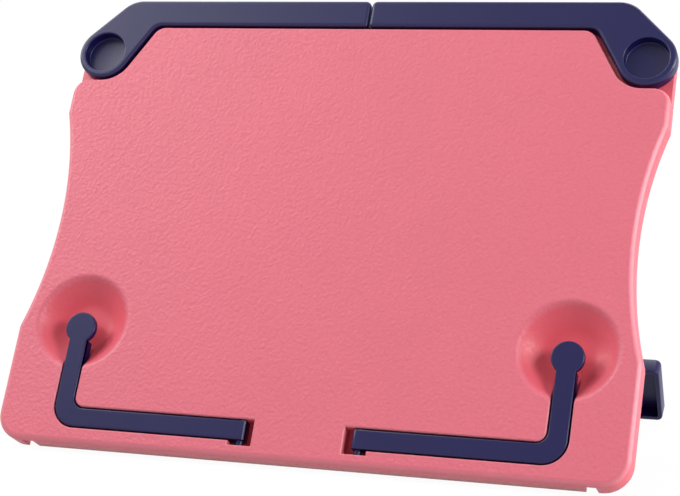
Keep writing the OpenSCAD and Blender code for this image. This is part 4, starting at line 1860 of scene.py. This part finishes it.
@dataclass
class Stay:
    """The stay between the leg and the rack: two arms, a web and a steel cross bar."""

    stance: Stance
    gap: float = 14.0
    arm_w: float = 5.5
    thickness: float = 5.0
    end_r: float = 3.1
    web_from: float = 18.0
    web_len: float = 24.0
    web_t: float = 2.2
    web_edge: float = 2.0
    bar_r: float = 1.75

    def arms(self) -> bpy.types.Object:
        """Builds both arms and the web between them, which is thicker along its edges.

        Returns:
            The piece.
        """
        d, length, half = Draft(), self.stance.stay_len, self.thickness / 2
        swell = math.degrees(math.asin(half / self.end_r))
        side = (arc(0, 0, self.end_r, swell, 360 - swell, 20)
                + arc(length, 0, self.end_r, swell - 180, 180 - swell, 20))
        for x in (self.gap, -self.gap - self.arm_w):
            d.prism(side, x, x + self.arm_w)
        reach, last = self.gap + ROOT, self.web_from + self.web_len - self.web_edge
        for y, wide, t in ((self.web_from, self.web_len, self.web_t / 2),
                           (self.web_from, self.web_edge, half - HAIR),
                           (last, self.web_edge, half - HAIR)):
            d.prism([(y, -t), (y + wide, -t), (y + wide, t), (y, t)], -reach, reach)
        return d.build("stay_arms", along_x(self.stance.on_stay()), NAVY, soften=0.4)

    def bar(self) -> bpy.types.Object:
        """Builds the steel bar that hooks into the rack.

        Returns:
            The piece.
        """
        reach, y = self.gap + self.arm_w - ROOT, self.stance.stay_len
        path = pin_path((-reach, y, 0), (reach, y, 0), self.bar_r)
        return RodTree().build("stay_cross_bar", [path], self.stance.on_stay(), STEEL)

    def dress(self) -> None:
        """Builds the stay and hands it over."""
        dress(self.arms(), "stay", NAVY, "stay")
        dress(self.bar(), "stay", STEEL, "stay_bar")


@dataclass
class Fixings:
    """Pins, washers, screws and springs."""

    stance: Stance
    seat: ArmSeat
    line: ClipLine
    washer_r: float = 8.0
    washer_t: float = 1.0
    head_r: float = 4.2
    head_t: float = 1.8
    pin_r: float = 1.5
    pin_proud: float = 0.1
    stay_pin: tuple[float, float] = (14.5, 22.75)
    clip_pin_r: float = 0.9
    clip_pin_foot: float = 1.0
    clip_pin_past: float = 3.4
    spring_r: float = 1.4
    wire_r: float = 0.3
    turns: int = 4
    turn_steps: int = 24
    bore: float = 4.2
    slack: float = 0.25
    bend: float = 0.2
    tang: float = 2.6

    def washers(self) -> bpy.types.Object:
        """Builds a washer behind each arm's hub.

        Returns:
            The piece.
        """
        back, x, v = -self.stance.board_t, self.seat.x, self.seat.v
        paths = [pin_path((k * x, v, back), (k * x, v, back - self.washer_t), self.washer_r)
                 for k in BOTH]
        return RodTree().build("arm_washers", paths, self.stance.on_board(), STEEL)

    def screws(self) -> bpy.types.Object:
        """Builds the screws that hold the arms, heads to the back.

        Returns:
            The piece.
        """
        lift = self.stance.board_t + self.washer_t
        paths = [[(k * self.seat.x, -self.seat.v, lift)] for k in BOTH]
        tree = ScrewTree(**{"Head Radius": self.head_r, "Head Height": self.head_t})
        return tree.build("arm_screws", paths, self.stance.on_board() @ tipped(180), STEEL,
                          CRISP_BOSS)

    def board_pins(self) -> bpy.types.Object:
        """Builds the leg's two pins and the clips' two pins, all fixed in the board.

        Returns:
            The piece.
        """
        s, c, z = self.stance, self.line, -self.line.depth / 2
        half = s.ear_in + s.ear_t + self.pin_proud
        paths = []
        for k in BOTH:
            x = k * s.hinge_x
            paths += [pin_path((x - half, s.leg_v, -s.axis_d), (x + half, s.leg_v, -s.axis_d),
                               self.pin_r),
                      pin_path((k * c.hinge_x, self.clip_pin_foot, z),
                               (k * c.hinge_x, c.top_v + self.clip_pin_past, z),
                               self.clip_pin_r, chamfer=0.2)]
        return RodTree().build("board_pins", paths, s.on_board(), STEEL)

    def stay_pins(self) -> bpy.types.Object:
        """Builds the stay's two pins, fixed in the leg.

        Returns:
            The piece.
        """
        y, (start, stop) = self.stance.stay_len, self.stay_pin
        paths = [pin_path((k * start, y, 0), (k * stop, y, 0), self.pin_r) for k in BOTH]
        return RodTree().build("stay_pins", paths, self.stance.on_leg(), STEEL)

    def springs(self) -> bpy.types.Object:
        """Builds the coil springs in the clips' ends, each one wire with a straight tang.

        Returns:
            The piece.
        """
        c, r = self.line, self.wire_r
        pitch = (self.bore - 2 * (r + self.slack)) / self.turns
        start = c.top_v - self.bore + r + self.slack
        paths = []
        for k in BOTH:
            coil = []
            for i in range(self.turns * self.turn_steps + 1):
                a = 2 * math.pi * i / self.turn_steps
                coil.append((k * (c.hinge_x + self.spring_r * math.cos(a)),
                             start + pitch * i / self.turn_steps,
                             -c.depth / 2 + self.spring_r * math.sin(a), r))
            x, v, z, _ = coil[-1]
            paths.append(coil + [(x, v + r + self.bend, z, r), (x, v + self.tang, z, r)])
        return WireTree().build("clip_springs", paths, self.stance.on_board(), SPRING, CRISP_WIRE)

    def dress(self) -> None:
        """Builds the fixings and hands them over."""
        dress(self.washers(), "board", STEEL, "left_arm_washer", "right_arm_washer")
        dress(self.screws(), "board", STEEL, "left_arm_screw", "right_arm_screw")
        dress(self.board_pins(), "board", STEEL, "left_leg_pin", "right_leg_pin",
              "left_clip_pin", "right_clip_pin")
        dress(self.springs(), "board", SPRING, "left_clip_spring", "right_clip_spring")
        dress(self.stay_pins(), "leg", STEEL, "left_stay_pin", "right_stay_pin")


# ------------------------------------------------------------------ studio


def facing(ahead: Vector) -> Sequence[float]:
    """The turn that points a lamp or a camera ahead."""
    return ahead.to_track_quat("-Z", "Y").to_euler()


@dataclass(frozen=True)
class Lamp:
    """A soft square lamp aimed at the stand."""

    name: str
    place: tuple[float, float, float]
    size: float
    power: float
    aim: tuple[float, float, float] = (0.0, -0.02, 0.1)

    def build(self) -> None:
        """Puts the lamp in the scene."""
        data = bpy.data.lights.new(self.name, "AREA")
        data.size, data.energy, data.shape = self.size, self.power, "SQUARE"
        made = put(self.name, data)
        made.location = self.place
        made.rotation_euler = facing(Vector(self.aim) - Vector(self.place))


@dataclass
class Studio:
    """A white floor, soft lamps and the camera."""

    lens: float = 100.6
    sensor: float = 36.0
    clip: tuple[float, float] = (0.02, 60.0)
    eye: tuple[float, float, float] = (0.2873, -0.8633, 0.2128)
    azimuth: float = 18.766
    elevation: float = 7.61
    world_level: float = 0.13
    floor_size: float = 16.0
    floor_tone: float = 0.6
    floor_fade: tuple[float, float] = (0.6, 2.5)
    floor_glow: tuple[float, float] = (0.9, 0.95)
    floor_white: float = 1.06
    lamps: tuple[Lamp, ...] = (
        Lamp("left_key", (-1.275, -0.245, 1.04), 0.55, 9.4),
        Lamp("left_top", (-0.75, -0.02, 1.51), 0.6, 5.6),
        Lamp("left_front", (-0.927, -0.555, 1.289), 0.5, 4.6),
        Lamp("right_key", (1.373, -0.52, 0.751), 0.55, 13.6),
        Lamp("right_side", (1.55, 0.25, 0.38), 0.5, 11.0),
        Lamp("back_top", (0.15, 0.95, 1.45), 0.7, 7.0),
    )

    def camera(self) -> None:
        """Sets the camera where the photograph was taken."""
        data = bpy.data.cameras.new("camera")
        data.lens, data.sensor_width, data.sensor_fit = self.lens, self.sensor, "HORIZONTAL"
        data.clip_start, data.clip_end = self.clip
        a, e = math.radians(self.azimuth), math.radians(self.elevation)
        made = put("camera", data)
        made.location = self.eye
        made.rotation_euler = facing(Vector((
            -math.sin(a) * math.cos(e), math.cos(a) * math.cos(e), -math.sin(e))))
        bpy.context.scene.camera = made

    def seen(self, nodes: Nodes) -> Wire:
        """Tells which rays see the background white.

        Args:
            nodes: The tree.

        Returns:
            1 for a ray that the camera, a mirror or a lens sends out, and 0 for others.
        """
        rays = nodes.tree.nodes.new("ShaderNodeLightPath")
        camera, glossy, lens = (Wire(nodes, rays.outputs[f"Is {kind} Ray"])
                                for kind in ("Camera", "Glossy", "Transmission"))
        return nodes.node("ShaderNodeMath", {"operation": "MINIMUM"},
                          {0: camera + glossy + lens, 1: 1.0})

    def world(self) -> None:
        """Adds a level white world that looks white to the camera."""
        world = bpy.data.worlds.new("world")
        world.use_nodes = True
        bpy.context.scene.world = world
        nodes = Nodes(world.node_tree)
        level, white = (nodes.node("ShaderNodeBackground", inputs={
            "Color": WHITE, "Strength": strength}) for strength in (self.world_level, 1.0))
        both = nodes.node("ShaderNodeMixShader", inputs={0: self.seen(nodes), 1: level, 2: white})
        nodes.node("ShaderNodeOutputWorld", inputs={"Surface": both})

    def floor(self) -> None:
        """Adds a white floor that keeps the stand's shadow, and glows a little more far away."""
        half = self.floor_size / 2
        mesh = bpy.data.meshes.new("floor")
        mesh.from_pydata([(-half, -half, 0), (half, -half, 0), (half, half, 0), (-half, half, 0)],
                         [], [(0, 1, 2, 3)])
        finish, nodes = new_material("floor_white")
        paint = nodes.node("ShaderNodeBsdfDiffuse", inputs={
            "Color": (self.floor_tone, self.floor_tone, self.floor_tone, 1.0)})
        glow = nodes.node("ShaderNodeEmission", inputs={
            "Color": WHITE, "Strength": self.floor_white})
        away = nodes.node("ShaderNodeVectorMath", {"operation": "LENGTH"}, {0: nodes.place()},
                          "Value")
        share = nodes.node("ShaderNodeMapRange", inputs={
            "Value": away, "From Min": self.floor_fade[0], "From Max": self.floor_fade[1],
            "To Min": self.floor_glow[0], "To Max": self.floor_glow[1]})
        both = nodes.node("ShaderNodeMixShader", inputs={
            0: self.seen(nodes) * share, 1: paint, 2: glow})
        nodes.node("ShaderNodeOutputMaterial", inputs={"Surface": both})
        mesh.materials.append(finish)
        put("floor", mesh)

    def build(self) -> None:
        """Sets up the whole studio."""
        self.camera()
        self.world()
        self.floor()
        for lamp in self.lamps:
            lamp.build()
        bpy.context.scene.view_settings.view_transform = "Standard"


def main() -> None:
    """Builds the stand's pieces in order, then the studio."""
    logging.basicConfig(level=logging.INFO, format="%(name)s: %(message)s")
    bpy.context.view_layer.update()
    stance, seat, line = Stance(), ArmSeat(), ClipLine()
    Board(stance, line, seat).dress()
    for side in Side:
        SideArm(stance, seat, side).dress()
        PageClip(stance, line, side).dress()
    Leg(stance).dress()
    Stay(stance).dress()
    Fixings(stance, seat, line).dress()
    Studio().build()


if __name__ == "__main__":
    main()
